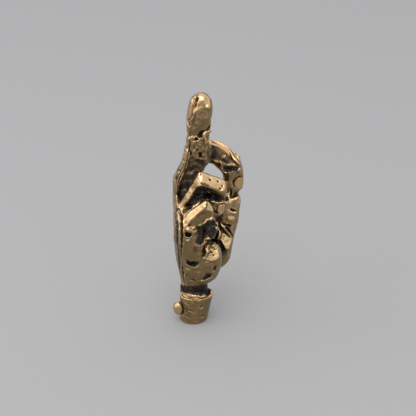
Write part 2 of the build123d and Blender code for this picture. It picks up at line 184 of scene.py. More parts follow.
class PhotoSight:
    """The photograph's view. Its points are pixels."""

    scale = PIXEL_MM

    def __init__(self):
        pitch, roll = radians(PITCH), radians(ROLL)
        right = np.array((1, 0, 0))
        down = np.array((0, -sin(pitch), -cos(pitch)))
        ahead = np.array((0, cos(pitch), -sin(pitch)))
        self.right = cos(roll) * right - sin(roll) * down
        self.down = sin(roll) * right + cos(roll) * down
        self.ahead = ahead

    def flat(self, points):
        """Pixels of some points of the charm."""
        away = points - EYE
        depth = away @ self.ahead
        across = away @ self.right / depth
        down = away @ self.down / depth
        return PICTURE_PIXELS / 2 + FOCAL_PIXELS * np.stack((across, down), axis=1)

    def start(self, point):
        """Where the ray through a pixel starts, and its direction."""
        across, down = (np.asarray(point) - PICTURE_PIXELS / 2) / FOCAL_PIXELS
        direction = self.ahead + across * self.right + down * self.down
        return EYE, direction / np.linalg.norm(direction)

    def rays(self, points):
        """Direction of sight at some points of the charm."""
        away = points - EYE
        return away / np.linalg.norm(away, axis=1, keepdims=True)


class SideSight:
    """A straight look along one axis. Its points are millimetres across and up the charm."""

    scale = 1.0
    far = 40.0

    def __init__(self, look, across, up=(0, 0, 1)):
        self.look = np.array(look, float)
        self.across = np.array(across, float)
        self.up = np.array(up, float)

    def flat(self, points):
        return np.stack((points @ self.across, points @ self.up), axis=1)

    def start(self, point):
        return point[0] * self.across + point[1] * self.up - self.far * self.look, self.look

    def rays(self, points):
        return np.broadcast_to(self.look, points.shape)


PHOTO = PhotoSight()
FROM_BACK = SideSight((1, 0, 0), (0, 1, 0))
FROM_THUMB = SideSight((0, -1, 0), (1, 0, 0))


# The surface while it is worked

def ease(share):
    """0 to 1 with soft ends."""
    share = np.clip(share, 0, 1)
    return share * share * (3 - 2 * share)


def gathered(index, values, size):
    """Sums of the rows of values that share an index."""
    columns = [np.bincount(index, values[:, axis], size) for axis in range(values.shape[1])]
    return np.stack(columns, axis=1)


def face_edges(faces):
    """Edges of some faces, each from one corner to the next."""
    return np.stack((faces, np.roll(faces, -1, axis=1)), axis=2).reshape(-1, 2)


def connected(count, pairs):
    """For each of count members, the lowest member that pairs link it to."""
    group = np.arange(count)
    while True:
        before = group.copy()
        lowest = np.minimum(group[pairs[:, 0]], group[pairs[:, 1]])
        np.minimum.at(group, pairs[:, 0], lowest)
        np.minimum.at(group, pairs[:, 1], lowest)
        group = group[group]
        if (group == before).all():
            return group


class Wax:
    """A closed surface of quads, in millimetres."""

    def __init__(self, co, faces):
        self.co = co
        self.faces = faces
        edges = np.unique(np.sort(face_edges(faces), axis=1), axis=0)
        self.ends = np.concatenate((edges[:, 0], edges[:, 1]))
        self.starts = np.concatenate((edges[:, 1], edges[:, 0]))
        self.degree = np.maximum(np.bincount(self.ends, minlength=len(co)), 1)[:, None]
        self.refresh()

    def refresh(self):
        """Finds the normals and the search tree again, after the surface has moved."""
        corner = self.co[self.faces]
        face_normal = np.cross(corner[:, 2] - corner[:, 0], corner[:, 3] - corner[:, 1])
        total = gathered(self.faces.ravel(), np.repeat(face_normal, 4, axis=0), len(self.co))
        self.normal = total / np.maximum(np.linalg.norm(total, axis=1, keepdims=True), TINY)
        self.tree = BVHTree.FromPolygons(self.co.tolist(), self.faces.tolist())

    def rounded(self, values, rounds):
        """Values eased towards their neighbours' mean, a number of times."""
        values = values.reshape(len(self.co), -1)
        for _ in range(rounds):
            mean = gathered(self.ends, values[self.starts], len(self.co)) / self.degree
            values = values + ROUND_SHARE * (mean - values)
        return values

    def smooth(self, rounds):
        """Rounds the whole surface."""
        self.co = self.rounded(self.co, rounds)
        self.refresh()

    def press(self, weight, depth):
        """Pushes the surface in by depth where weight is 1."""
        self.co = self.co - self.normal * (depth * weight)[:, None]


def mesh_arrays(mesh):
    """Vertex places and quads of a mesh."""
    co = np.empty(len(mesh.vertices) * 3, np.float32)
    mesh.vertices.foreach_get("co", co)
    corners = np.empty(len(mesh.loops), np.int32)
    mesh.loops.foreach_get("vertex_index", corners)
    return co.reshape(-1, 3).astype(float), corners.reshape(len(mesh.polygons), -1)


def put(name, data):
    """A new object in the scene."""
    made = bpy.data.objects.new(name, data)
    bpy.context.scene.collection.objects.link(made)
    return made


def evaluated(mesh, fit):
    """The mesh that one modifier makes of a mesh. fit adds the modifier to a passing object."""
    worker = put("worker", mesh)
    fit(worker)
    graph = bpy.context.evaluated_depsgraph_get()
    made = bpy.data.meshes.new_from_object(worker.evaluated_get(graph))
    bpy.data.objects.remove(worker)
    return made


def new_mesh(name, co, faces):
    mesh = bpy.data.meshes.new(name)
    mesh.from_pydata(co.tolist(), [], faces.tolist())
    return mesh


def whole_surface(co, faces):
    """The largest connected surface, without the sealed hollows inside it."""
    group = connected(len(co), face_edges(faces))
    keep = group == np.bincount(group).argmax()
    number = np.cumsum(keep) - 1
    return co[keep], number[faces[keep[faces[:, 0]]]]


def voxel_skin(co, faces, voxel):
    """One even skin of quads over all the closed forms in a mesh."""
    def fit(worker):
        skin = worker.modifiers.new("skin", "REMESH")
        skin.mode = "VOXEL"
        skin.voxel_size = voxel

    made = evaluated(new_mesh("skin", co, faces), fit)
    return Wax(*whole_surface(*mesh_arrays(made)))


def node_arrays(names):
    """Triangles of some CAD nodes together in millimetres, and the node's number for each triangle."""
    places, triangles, owners, count = [], [], [], 0
    for number, name in enumerate(names):
        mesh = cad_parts[name].data
        mesh.calc_loop_triangles()
        co = np.array([vertex.co for vertex in mesh.vertices]) / MM
        own = np.array([triangle.vertices for triangle in mesh.loop_triangles])
        places.append(co)
        triangles.append(own + count)
        owners.append(np.full(len(own), number))
        count += len(co)
    return np.concatenate(places), np.concatenate(triangles), np.concatenate(owners)


NODE_PLACES, NODE_TRIANGLES, NODE_OWNERS = node_arrays(CAST_NODES)
NODE_TREE = BVHTree.FromPolygons(NODE_PLACES.tolist(), NODE_TRIANGLES.tolist())


def nearest_nodes(places):
    """Number of the CAD node that each place lies nearest to."""
    return NODE_OWNERS[np.array([NODE_TREE.find_nearest(place)[2] for place in places], int)]


# Lines and areas of a picture, laid on the surface. The seed makes the lines wander alike in each run.

noise.seed_set(WOBBLE_SEED)


def soft_line(points, step):
    """Points about step apart on a soft curve through the given ones."""
    points = np.asarray(points, float)
    if len(points) == 1:
        return points
    padded = np.concatenate((2 * points[:1] - points[1:2], points, 2 * points[-1:] - points[-2:-1]))
    made = []
    for a, b, c, d in zip(padded, padded[1:], padded[2:], padded[3:]):
        count = max(int(np.linalg.norm(c - b) / step), 1)
        t = np.arange(count)[:, None] / count
        made.append(0.5 * (2 * b + (c - a) * t + (2 * a - 5 * b + 4 * c - d) * t ** 2
                           + (3 * b - a - 3 * c + d) * t ** 3))
    return np.concatenate((*made, points[-1:]))


def unevenness(places, size):
    """Smooth noise from about -1 to 1 at some places, with lumps of one size."""
    return np.array([noise.noise(Vector(place) / size) for place in places])


def end_shares(count):
    """1 along a line of points, falling towards its ends. A short line keeps its ends."""
    if count < SHORT_LINE:
        return np.ones(count)
    run = np.linspace(0, 1, count)
    return END_WIDTH + (1 - END_WIDTH) * ease(np.minimum(run, 1 - run) / END_SHARE)


def line_weight(wax, line, share=1.0):
    """1 along a line of the picture, falling away over a share of its uneven width."""
    sight = line.sight
    width = share * line.width
    hits = []
    for point in soft_line(line.points, LINE_STEP / sight.scale):
        spot = Vector((point[0], point[1], 0)) * (sight.scale / WOBBLE_SIZE)
        wandered = point + WOBBLE / sight.scale * np.array(noise.noise_vector(spot))[:2]
        origin, direction = sight.start(wandered)
        place = wax.tree.ray_cast(Vector(origin), Vector(direction))[0]
        if place is not None:
            hits.append(place)
    weight = np.zeros(len(wax.co))
    if not hits:
        return weight
    hits = np.array(hits)
    reach = LINE_REACH * width
    near = ((wax.co > hits.min(axis=0) - reach) & (wax.co < hits.max(axis=0) + reach)).all(axis=1)
    near &= (wax.normal * sight.rays(wax.co)).sum(axis=1) < LINE_FACING
    index = np.flatnonzero(near)
    for hit, swell, fade in zip(hits, unevenness(hits, WOBBLE_SIZE), end_shares(len(hits))):
        spread = width * (1 + WIDTH_UNEVENNESS * swell) * fade
        distance = ((wax.co[index] - hit) ** 2).sum(axis=1)
        weight[index] = np.maximum(weight[index], fade * np.exp(-distance / spread ** 2))
    return weight


def outline_depth(flat, outline):
    """How far points of a picture lie inside an outline, below 0 outside it."""
    outline = np.asarray(outline, float)
    inside = np.zeros(len(flat), bool)
    nearest = np.full(len(flat), np.inf)
    for a, b in zip(outline, np.roll(outline, -1, axis=0)):
        along = b - a
        share = np.clip((flat - a) @ along / (along @ along), 0, 1)
        nearest = np.minimum(nearest, ((flat - a - share[:, None] * along) ** 2).sum(axis=1))
        crosses = (a[1] > flat[:, 1]) != (b[1] > flat[:, 1])
        level = np.where(crosses, (flat[:, 1] - a[1]) / (along[1] if along[1] else 1), 0)
        inside ^= crosses & (flat[:, 0] < a[0] + level * along[0])
    return np.where(inside, 1, -1) * np.sqrt(nearest)


def area_weight(wax, area, wobble=0.0):
    """1 inside an area of the picture, easing to 0 at its edge, on the surface that is in sight."""
    depth = outline_depth(area.sight.flat(wax.co), area.outline)
    if wobble:
        wander = wobble / area.sight.scale
        edge = np.flatnonzero((depth > -wander) & (depth < area.feather))
        depth[edge] += wander * unevenness(wax.co[edge], EDGE_WOBBLE_SIZE)
    weight = ease(depth / area.feather)
    rays = area.sight.rays(wax.co)
    for index in np.flatnonzero(weight > 0):
        facing = -rays[index]
        start = wax.co[index] + SIGHT_LIFT * facing + SIGHT_CLEARANCE * wax.normal[index]
        if wax.tree.ray_cast(Vector(start), Vector(facing))[0] is not None:
            weight[index] = 0
    return weight


Area = namedtuple("Area", "name outline feather sight", defaults=(PHOTO,))
Pull = namedtuple("Pull", "name outline shift feather sight", defaults=(PHOTO,))
Facet = namedtuple("Facet", "name outline normal feather through sight", defaults=(None, PHOTO))
Hollow = namedtuple("Hollow", "name outline depth feather dark sight", defaults=(0, PHOTO))
Line = namedtuple("Line", "name points width depth sight", defaults=(PHOTO,))
Stroke = namedtuple("Stroke", "name points width sight", defaults=(PHOTO,))

# Fingertips, joints and the foot of the thumb's web, rubbed round
ROUNDED = (
    Area("fingertip", ((180, 80), (220, 80), (220, 122), (180, 122)), 12.0),
    Area("pad_foot", ((186, 121), (214, 110), (216, 128), (206, 133), (196, 138), (186, 140)), 4.0),
    Area("middle_joint", ((186, 144), (213, 142), (213, 160), (186, 163)), 4.0),
    Area("arched_tip", ((224, 172), (247, 172), (247, 196), (224, 196)), 4.0),
    Area("ring_tip", ((212, 202), (228, 202), (228, 223), (212, 223)), 3.0),
    Area("web_foot", ((-1.5, 6.5), (6, 6.5), (6, 13.5), (-1.5, 13.5)), 1.5, FROM_THUMB),
)

# Stretches drawn out of the wax, front and back alike, by a shift in millimetres
PULLS = (
    Pull("arch", (
        (212, 150), (213, 132), (226, 132), (240, 142), (248, 158), (244, 166), (236, 163), (228, 155),
        (220, 150)), (0.1, 0, 0.75), 8.0),
    Pull("fingertip", ((182, 82), (216, 82), (216, 106), (182, 106)), (0, 0, 0.28), 9.0),
    Pull("wrist_left", ((181, 281), (189, 283), (190, 295), (180, 293)), (-0.5, 0, 0), 3.0),
)

# Places in millimetres on the edges of the little finger's bar
LITTLE_RIDGE = (2.0, -6.22, 25.76)
LITTLE_CORNER = (3.35, -6.19, 26.18)

# The way a face leans when it catches the key light
TO_KEY = (0.0, -0.645, 0.764)

# Flat faces pared on the metal, which catch the sky or, where they lean over, the floor
FACETS = (
    Facet("fingertip_left", (
        (194.4, 99.6), (191.5, 109), (190.6, 114), (193.5, 116), (196.8, 111.5), (197.6, 104),
        (199.5, 98), (197, 95)), (-0.35, -0.6, 0.72), 2.2),
    Facet("fingertip_right", (
        (206, 93.6), (210.6, 97), (212, 107.6), (209, 110.4), (205, 108.6), (205.4, 103.3), (203.4, 97)),
        (0.4, -0.58, 0.71), 2.2),
    Facet("fingertip_glow", (
        (197.6, 95), (201, 93.4), (205, 94.6), (205.8, 99.4), (202.6, 102), (198.6, 100.8)), TO_KEY, 2.0),
    Facet("little_bevel", (
        (183.5, 221.4), (185.4, 216.6), (191.6, 209.8), (199.8, 204.6), (206, 200.4), (207.4, 203),
        (206.6, 207.8), (203.5, 208.9), (196.6, 215.1), (191, 220.4), (187.6, 226), (184.4, 226)),
        (-0.55, -0.64, 0.53), 0.8, LITTLE_RIDGE),
    Facet("little_side", (
        (187.6, 225.4), (191, 220.1), (196.6, 215.1), (203.5, 208.9), (208, 209.6), (214.4, 212.8),
        (211.4, 218.8), (207.9, 219.6), (203.5, 222.8), (200.4, 225.2), (193.5, 229), (189, 229)),
        (0.03, -0.995, -0.09), 0.8, LITTLE_RIDGE),
    Facet("little_end", (
        (205.6, 200.4), (209, 201.8), (213.5, 208), (214.4, 212.8), (208, 209.6), (204.2, 208.9),
        (206.8, 204)), (0.35, -0.75, 0.56), 0.8, LITTLE_CORNER),
    Facet("thenar", (
        (216.3, 225), (222, 227.6), (233.4, 238.2), (232, 243.5), (229.5, 250.5), (224.5, 251),
        (221.5, 244.5), (219, 239)), (0.2, -0.69, 0.695), 1.5),
    Facet("heel", (
        (207.5, 246.3), (211, 245.5), (215.4, 247), (220, 251.6), (220.6, 257.2), (217, 261.6),
        (210.5, 262.6), (203.4, 259.7), (206, 255.6), (209, 252)), (0.15, -0.8, 0.58), 1.5),
    Facet("arch_band", (
        (211, 138.5), (218, 137.6), (224.5, 140), (231.5, 145), (237, 151.8), (241, 160), (241, 164.6),
        (238.8, 164.6), (233.2, 157), (228, 149.6), (221, 144.9), (212.5, 142.6)),
        (0.35, -0.5, 0.79), 1.0),
    Facet("arch_line", (
        (212, 140.4), (218.6, 141.4), (225.2, 144.4), (230.4, 149.4), (235, 156.2), (240.8, 163.6),
        (238.6, 165.8), (232.2, 158.8), (228, 152.2), (223.4, 147.4), (217.6, 144.4), (212, 143)),
        (0.05, -0.64, 0.767), 0.6),
    Facet("thumb_face", (
        (225.5, 214.6), (230, 212.8), (235.5, 213), (236.4, 218), (234, 223), (227, 221.4)),
        (0.2, -0.78, 0.58), 3.0),
    Facet("ring_corner", ((198, 175), (203.4, 175), (203.6, 179.6), (198.4, 180)), TO_KEY, 1.2),
    Facet("little_corner", ((203, 204.4), (206.6, 203.8), (207, 207.6), (203.4, 208.4)), TO_KEY, 1.2),
)

# Swellings, raised towards the eye
MOUNDS = (
    Hollow("fingertip_pad", (
        (190, 108), (202, 104), (214, 106), (213, 119.5), (209.4, 124.6), (204.4, 128.8), (198.4, 132),
        (191, 132)), -0.22, 7.0),
    Hollow("flap", (
        (191, 136), (197, 136), (202, 138.5), (206, 142), (209.4, 143), (208.8, 152), (204, 159.5),
        (200.5, 156), (197, 158), (193, 152.5)), -0.3, 2.0),
    Hollow("side_below_little", (
        (184, 226), (190, 223), (198, 222), (197, 230), (199, 246), (192, 257), (184, 256)), -0.2, 4.0),
    Hollow("heel_roll", (
        (184, 269), (192, 270), (204, 271), (200, 277), (192, 279.5), (187, 284), (184.6, 278)),
        -0.25, 2.5),
)

# Hollows and gashes, sunk along the line of sight, with the patina that lies in them
HOLLOWS = (
    Hollow("behind_ring_knuckle", (
        (190, 154), (196, 159), (206, 160), (214, 160), (212, 167), (205, 174), (199, 182), (193, 192),
        (187, 202), (182, 208), (178, 202), (176.5, 195), (177.5, 188), (181, 178), (186, 167),
        (188, 159)), 0.9, 3.0, 0.5),
    Hollow("under_ring_finger", (
        (196, 188), (200, 185.5), (205, 186.5), (212, 189.5), (221, 194.5), (229, 198), (228, 203),
        (221, 203), (214, 201.5), (207, 199.5), (200, 202.5), (192, 208), (186, 213), (182, 216),
        (182.5, 209), (187, 201), (192, 194)), 1.2, 3.0, 0.95),
    Hollow("under_little_finger", (
        (193, 230), (197, 227.6), (200.4, 225.6), (204, 222.8), (208, 219.8), (213, 218.8), (217, 220),
        (218, 226), (218.5, 233), (217, 238), (213, 241), (208, 239), (205, 244), (199, 246), (195, 243),
        (196.5, 236), (198, 230.6)), 1.3, 2.4, 0.82),
    Hollow("heel_crevice", (
        (184.5, 258), (187.6, 259), (190.6, 261), (194.3, 260.5), (200, 262.3), (199.5, 266),
        (194.5, 268), (190.5, 266.5), (186.5, 264.5), (183.5, 266), (185.5, 262)), 1.0, 1.8, 1.0),
    Hollow("heel_gash", (
        (196.5, 282), (202.3, 277), (206.5, 273.2), (213, 272.5), (211.3, 276.6), (208, 279),
        (204, 280.2), (200.5, 280.8)), 0.9, 1.5, 1.0),
    Hollow("heel_spot", ((185.2, 274), (188.2, 273.8), (188.6, 277.5), (185.6, 278)), 0.6, 1.2, 0.8),
    Hollow("side_pit", (
        (184.8, 232.4), (188, 231.6), (191.6, 232.8), (191, 235.8), (188.6, 237.4), (185.6, 236)),
        0.7, 1.1, 1.1),
    Hollow("side_gash", (
        (192.4, 229.6), (196, 226.2), (201.4, 224.8), (201, 227.8), (197, 229.4), (194.4, 231.8)),
        0.7, 1.0, 1.1),
    Hollow("flap_slit", (
        (193.6, 140.2), (195.6, 138.4), (198, 138.6), (197, 140.2), (195, 141)), 0.5, 0.7, 1.1),
    Hollow("flap_foot", (
        (200.4, 153.6), (202.4, 153), (202.2, 156), (200.6, 159), (199, 158.6)), 0.5, 0.9, 1.1),
    Hollow("flap_corner", (
        (189.4, 150.6), (191, 152), (192.4, 155), (194.8, 157.6), (193, 160), (190, 158)), 0.5, 1.2, 1.0),
    Hollow("beside_button", (
        (182, 303), (183.6, 306), (183.8, 312), (181.6, 317.4), (179.6, 317.6), (181.4, 311)),
        0.4, 1.0, 0.9),
    Hollow("under_fingertip_pad", (
        (196.5, 134.5), (200, 131.8), (204, 129.6), (208, 127), (210.4, 122.5), (211, 126), (209.4, 131),
        (206, 131.6), (203.6, 133.4), (204.4, 138.5), (201.5, 138.5), (198, 137)), 0.8, 1.6, 0.95),
    Hollow("beside_flap", (
        (209, 142), (214, 142.6), (219, 148), (220, 156), (217, 162), (206.5, 161), (208.5, 152)),
        0.45, 4.5, 0.8),
    Hollow("arch_side", (
        (214, 144.6), (219, 146.4), (225, 150), (231, 156.6), (236, 163), (236, 166), (228, 166),
        (221, 163), (214, 161.5)), 0.4, 3.0, 0.3),
    Hollow("arch_foot", (
        (220, 158), (224, 156.4), (228, 159.5), (231, 163), (228, 166), (222, 163.4)), 0.3, 2.0, 0.8),
    Hollow("arch_joint", (
        (221, 164.5), (227, 165), (233, 166.5), (240, 166.2), (241.5, 168.5), (237, 171), (231, 171.3),
        (226.5, 174), (222.5, 171)), 0.8, 2.2, 0.9),
    Hollow("wrist_recess", (
        (181, 286.5), (186, 288.5), (190, 288), (195, 286), (204, 285.5), (213.5, 284), (213.5, 291),
        (207, 294.5), (198, 295.5), (190, 294), (184, 291)), 0.4, 2.0, 1.0),
)

# Hollows that pass behind the ring finger
BESIDE_RING = ("behind_ring_knuckle",)

# Places where the casting is rough
ROUGH = (
    Area("flap", ((190, 134), (212, 132), (210, 150), (202, 159), (190, 156)), 3.0),
    Area("little_foot", ((184, 222), (196, 220), (198, 232), (186, 246), (182, 236)), 3.0),
    Area("palm_folds", ((198, 224), (218, 222), (222, 246), (212, 260), (200, 256), (196, 244)), 3.0),
    Area("heel_foot", ((181, 272), (196, 276), (214, 276), (212, 286), (182, 288)), 3.0),
    Area("cuff_side", ((182, 300), (196, 298), (198, 314), (186, 322)), 4.0),
)

# Routes of edges that stand up, rubbed bright and with painted highlights along them
ARCH_RIDGE = ((212, 141.6), (218.2, 142.8), (224.3, 145.8), (229.2, 150.7), (233.5, 157.5), (239.4, 165))
CUFF_RIM = ((179.5, 291), (184.5, 293.6), (190, 295.8), (198, 296.8), (206.5, 296.2), (212, 293.2))
PALM_EDGE = ((215, 225.4), (217.9, 229.6), (219.4, 234.4), (218, 239), (215.5, 240))
SIDE_LIP = ((186.6, 239.5), (188.2, 240.6), (189.8, 239.4))

# Tendons on the back of the hand, and the valleys between them
TENDONS = {
    "arched": ((4.1, 26), (2.6, 19), (1.2, 12)),
    "raised": ((0.9, 24), (0.5, 18), (0.2, 12)),
    "ring": ((-2.4, 23.5), (-1.4, 18), (-0.6, 12)),
    "little": ((-5.2, 22), (-3.2, 17), (-1.4, 11.5)),
}
VALLEYS = {
    "arched_and_raised": ((2.5, 26.5), (1.9, 22), (1.1, 16)),
    "raised_and_ring": ((-0.8, 25), (-0.6, 21), (-0.3, 16)),
    "ring_and_little": ((-3.9, 23.5), (-3, 20), (-1.8, 15.5)),
}
TENDON_WIDTH = 0.8
TENDON_HEIGHT = 0.3
VALLEY_WIDTH = 0.65
VALLEY_DEPTH = 0.22

# Creases, cuts and pits, with a depth in millimetres. A ridge has a depth below 0.
LINES = (
    Line("nail_strip_edge", (
        (199.2, 92.5), (196.5, 95.5), (194.3, 99.3), (191.4, 106), (190.3, 112)), 0.15, 0.3),
    Line("pad_edge", ((196.7, 113), (194.6, 117), (193, 122), (191.8, 127), (191.4, 131)), 0.2, 0.1),
    Line("pad_spot_middle", ((198.3, 119.8),), 0.13, 0.12),
    Line("pad_spot_lower", ((195.5, 125), (195.8, 127)), 0.15, 0.16),
    Line("fold_left_edge", ((203.5, 132.5), (204.5, 137), (206, 142.5)), 0.2, -0.32),
    Line("fold_right_edge", ((207, 142.8), (209.5, 139.5), (211, 135), (209, 129.5)), 0.18, -0.3),
    Line("fold_inside", ((207.2, 139), (208.3, 136.5), (209, 134)), 0.15, 0.35),
    Line("flap_pit", ((194.3, 139.5), (197.8, 138.8)), 0.2, 0.36),
    Line("flap_lip", ((193.5, 141), (197.5, 140.6)), 0.14, -0.14),
    Line("flap_slit_left", ((194.3, 145.5), (194.5, 149.5)), 0.18, 0.24),
    Line("flap_spot", ((198, 150.7),), 0.18, 0.22),
    Line("flap_slit_right", ((208.8, 145.5), (207.6, 150.5)), 0.17, 0.28),
    Line("flap_notch_left", ((189.8, 151), (191.5, 154.8)), 0.25, 0.4),
    Line("flap_notch_middle", ((200.2, 152.8), (199.8, 157.5)), 0.22, 0.45),
    Line("band_notch", ((186.3, 119.5), (188, 123.5), (190, 127)), 0.15, 0.24),
    Line("band_inner_edge", (
        (190.3, 128), (189.5, 140), (189, 150), (187.5, 159), (184.5, 169), (180, 178), (178, 187),
        (178.2, 196)), 0.2, 0.26),
    Line("band_middle", ((184.3, 163), (180.5, 171), (177, 178), (175.8, 186)), 0.15, 0.2),
    Line("band_cut_one", ((184.6, 126), (187, 126.8)), 0.17, 0.22),
    Line("band_cut_two", ((184, 141), (186.5, 141.5)), 0.17, 0.24),
    Line("band_cut_three", ((182.8, 150), (186.3, 151.5)), 0.16, 0.2),
    Line("band_cut_four", ((180.4, 159), (183.5, 161)), 0.19, 0.26),
    Line("band_cut_five", ((177, 169), (180.5, 171.5)), 0.17, 0.22),
    Line("edge_groove_outer", ((176.3, 210), (176.8, 222), (177, 233), (177.6, 246)), 0.16, 0.3),
    Line("edge_ridge", (
        (176, 208), (178, 212.5), (179.6, 217), (179.9, 225), (180.2, 235), (180.3, 250)), 0.17, -0.2),
    Line("edge_groove_inner", (
        (179, 208), (181.6, 214), (181.6, 224), (181.8, 236), (181, 248), (181.5, 259)), 0.2, 0.42),
    Line("edge_groove_foot", ((181.6, 264), (182.3, 270), (183, 277), (185.6, 286.5)), 0.17, 0.36),
    Line("edge_line", ((178.6, 252), (179.4, 264), (180, 277)), 0.15, 0.2),
    Line("ring_pit_one", ((209.6, 179.5), (210.8, 180.4)), 0.17, 0.2),
    Line("ring_pit_two", ((217.4, 180.8), (219.4, 182.4)), 0.16, 0.2),
    Line("ring_pit_three", ((222.4, 186.3),), 0.17, 0.18),
    Line("ring_pit_four", ((220.6, 189.5),), 0.17, 0.2),
    Line("ring_pit_five", ((206.5, 182.2),), 0.13, 0.12),
    Line("ring_pit_six", ((201, 174.4),), 0.14, 0.12),
    Line("ring_lower_lip", ((194, 188), (196.5, 186), (199.2, 185), (203.5, 185.8)), 0.14, -0.16),
    Line("arched_tip_groove", (
        (230.4, 190), (231.4, 196.4), (235.5, 194.8), (239, 191.8), (242.3, 188)), 0.3, 0.7),
    Line("arched_nail_edge", (
        (238.6, 176.6), (235.4, 178.6), (234.2, 182.4), (235.2, 186.4), (238, 188.6)), 0.15, 0.28),
    Line("arch_ridge", ARCH_RIDGE, 0.22, -0.26),
    Line("arch_wrinkle", ((235.2, 151), (237, 155), (239, 158.6)), 0.15, 0.28),
    Line("arch_wrinkle_ridge", ((236.4, 152), (238.4, 155.4), (240, 158.4)), 0.15, -0.2),
    Line("arch_inner_lip", ((219, 160.5), (221, 163), (223, 165.5)), 0.15, -0.25),
    Line("thumb_joint_crease", ((227.5, 208.4), (231, 209.6), (236.3, 212.2)), 0.22, 0.42),
    Line("thumb_side_line", ((240.5, 194), (239.4, 198.5), (238.5, 202)), 0.17, 0.28),
    Line("thumb_base_crease_upper", ((221, 222.4), (225, 225.4), (231, 226)), 0.24, 0.45),
    Line("thumb_base_crease_lower", ((225, 226.4), (229.5, 231.5), (233.5, 237.5)), 0.27, 0.55),
    Line("palm_edge", PALM_EDGE, 0.2, -0.5),
    Line("palm_ridge_left", ((208.6, 234), (206.5, 238), (203.5, 242), (200.8, 245.2)), 0.24, -0.6),
    Line("palm_ridge_right", ((213, 229), (213.5, 238)), 0.24, -0.4),
    Line("side_pit", ((186.6, 233.8), (190, 234.2)), 0.34, 0.5),
    Line("side_lip", SIDE_LIP, 0.18, -0.22),
    Line("side_gash", ((194.4, 229.6), (197.5, 227.4), (200.5, 226)), 0.24, 0.4),
    Line("heel_slit", ((215.6, 264.8), (215.2, 268), (214.3, 271)), 0.26, 0.34),
    Line("heel_lip", ((185, 268), (188, 269.6), (191.5, 270.2)), 0.2, -0.28),
    Line("heel_left_line", ((189.5, 280.6), (192, 280.2), (196.5, 282)), 0.15, 0.24),
    Line("heel_upper_fold", ((204.5, 245), (203, 250), (204.5, 254), (202, 258)), 0.3, 0.4),
    Line("heel_facet_pit", ((211.3, 251.6), (213, 253)), 0.17, 0.2),
    Line("heel_facet_spot", ((213.4, 255.4),), 0.13, 0.14),
    Line("heel_facet_top", ((209, 246.6), (211, 245.5)), 0.17, 0.24),
    Line("heel_facet_foot", ((203, 259.5), (208, 261.2), (212, 263), (214, 261)), 0.16, 0.16),
    Line("cuff_rim", CUFF_RIM, 0.26, -0.22),
    Line("cuff_rim_notch_one", ((187, 293), (188.2, 295.5)), 0.16, 0.24),
    Line("cuff_rim_notch_two", ((201.5, 295), (202.5, 297.4)), 0.14, 0.18),
    Line("cuff_pit_upper", ((196, 300.2), (198.2, 299.8)), 0.22, 0.24),
    Line("cuff_pit_left", ((188.5, 310.2), (190.2, 310.9)), 0.2, 0.28),
    Line("cuff_pit_under", ((185.5, 309), (187, 312.5)), 0.2, 0.14),
    Line("cuff_slit_right", ((200.8, 307.6), (202.4, 305.4)), 0.17, 0.24),
    Line("cuff_slit_low", ((202, 317.2), (204, 314.8)), 0.17, 0.22),
    Line("button_shadow", ((181.3, 301), (182, 306), (181.2, 312), (179.5, 317)), 0.24, 0.3),
    Line("ring_tip_crescent", ((215.5, 210.6), (217.5, 212.3), (221.4, 211.6)), 0.18, 0.3),
    Line("ring_tip_line", ((218, 206), (222, 208), (224.5, 206)), 0.13, 0.16),
    Line("ring_tip_foot", ((215.5, 221), (218.5, 219.5), (221.5, 218.8)), 0.2, 0.4),
    *(Line(f"tendon_{finger}", points, TENDON_WIDTH, -TENDON_HEIGHT, FROM_BACK)
      for finger, points in TENDONS.items()),
    *(Line(f"between_{fingers}", points, VALLEY_WIDTH, VALLEY_DEPTH, FROM_BACK)
      for fingers, points in VALLEYS.items()),
    Line("raised_back_wrinkle_one", ((-0.3, 33.2), (0.9, 33.5), (2.1, 33.1)), 0.13, 0.16, FROM_BACK),
    Line("raised_back_wrinkle_two", ((-0.3, 35.1), (0.9, 35.3), (2.1, 35)), 0.12, 0.13, FROM_BACK),
    Line("raised_back_wrinkle_three", ((-0.2, 38.3), (0.9, 38.5), (2.1, 38.2)), 0.12, 0.15, FROM_BACK),
    Line("arched_side_crease", ((5.2, 30.4), (4.9, 31.3), (5.3, 32.4)), 0.15, 0.2, FROM_THUMB),
    Line("arched_tip_crease", ((6.6, 27.6), (7.6, 27.9), (8.8, 27.6)), 0.15, 0.2, FROM_THUMB),
    Line("thumb_side_crease_low", ((5.5, 18.2), (6.6, 18.6), (8, 18.1)), 0.16, 0.22, FROM_THUMB),
    Line("thumb_side_crease_high", ((5.6, 19), (6.8, 19.4), (8.1, 18.9)), 0.14, 0.16, FROM_THUMB),
    Line("web_fold_low", ((2.2, 16), (3.4, 17.5), (4.6, 18)), 0.2, 0.22, FROM_THUMB),
    Line("web_fold_high", ((1.8, 18.5), (3, 20.2), (4.4, 21)), 0.2, 0.22, FROM_THUMB),
    Line("hand_side_cut", ((-1.2, 13), (-1.1, 19), (-1.3, 25)), 0.2, 0.13, FROM_THUMB),
)
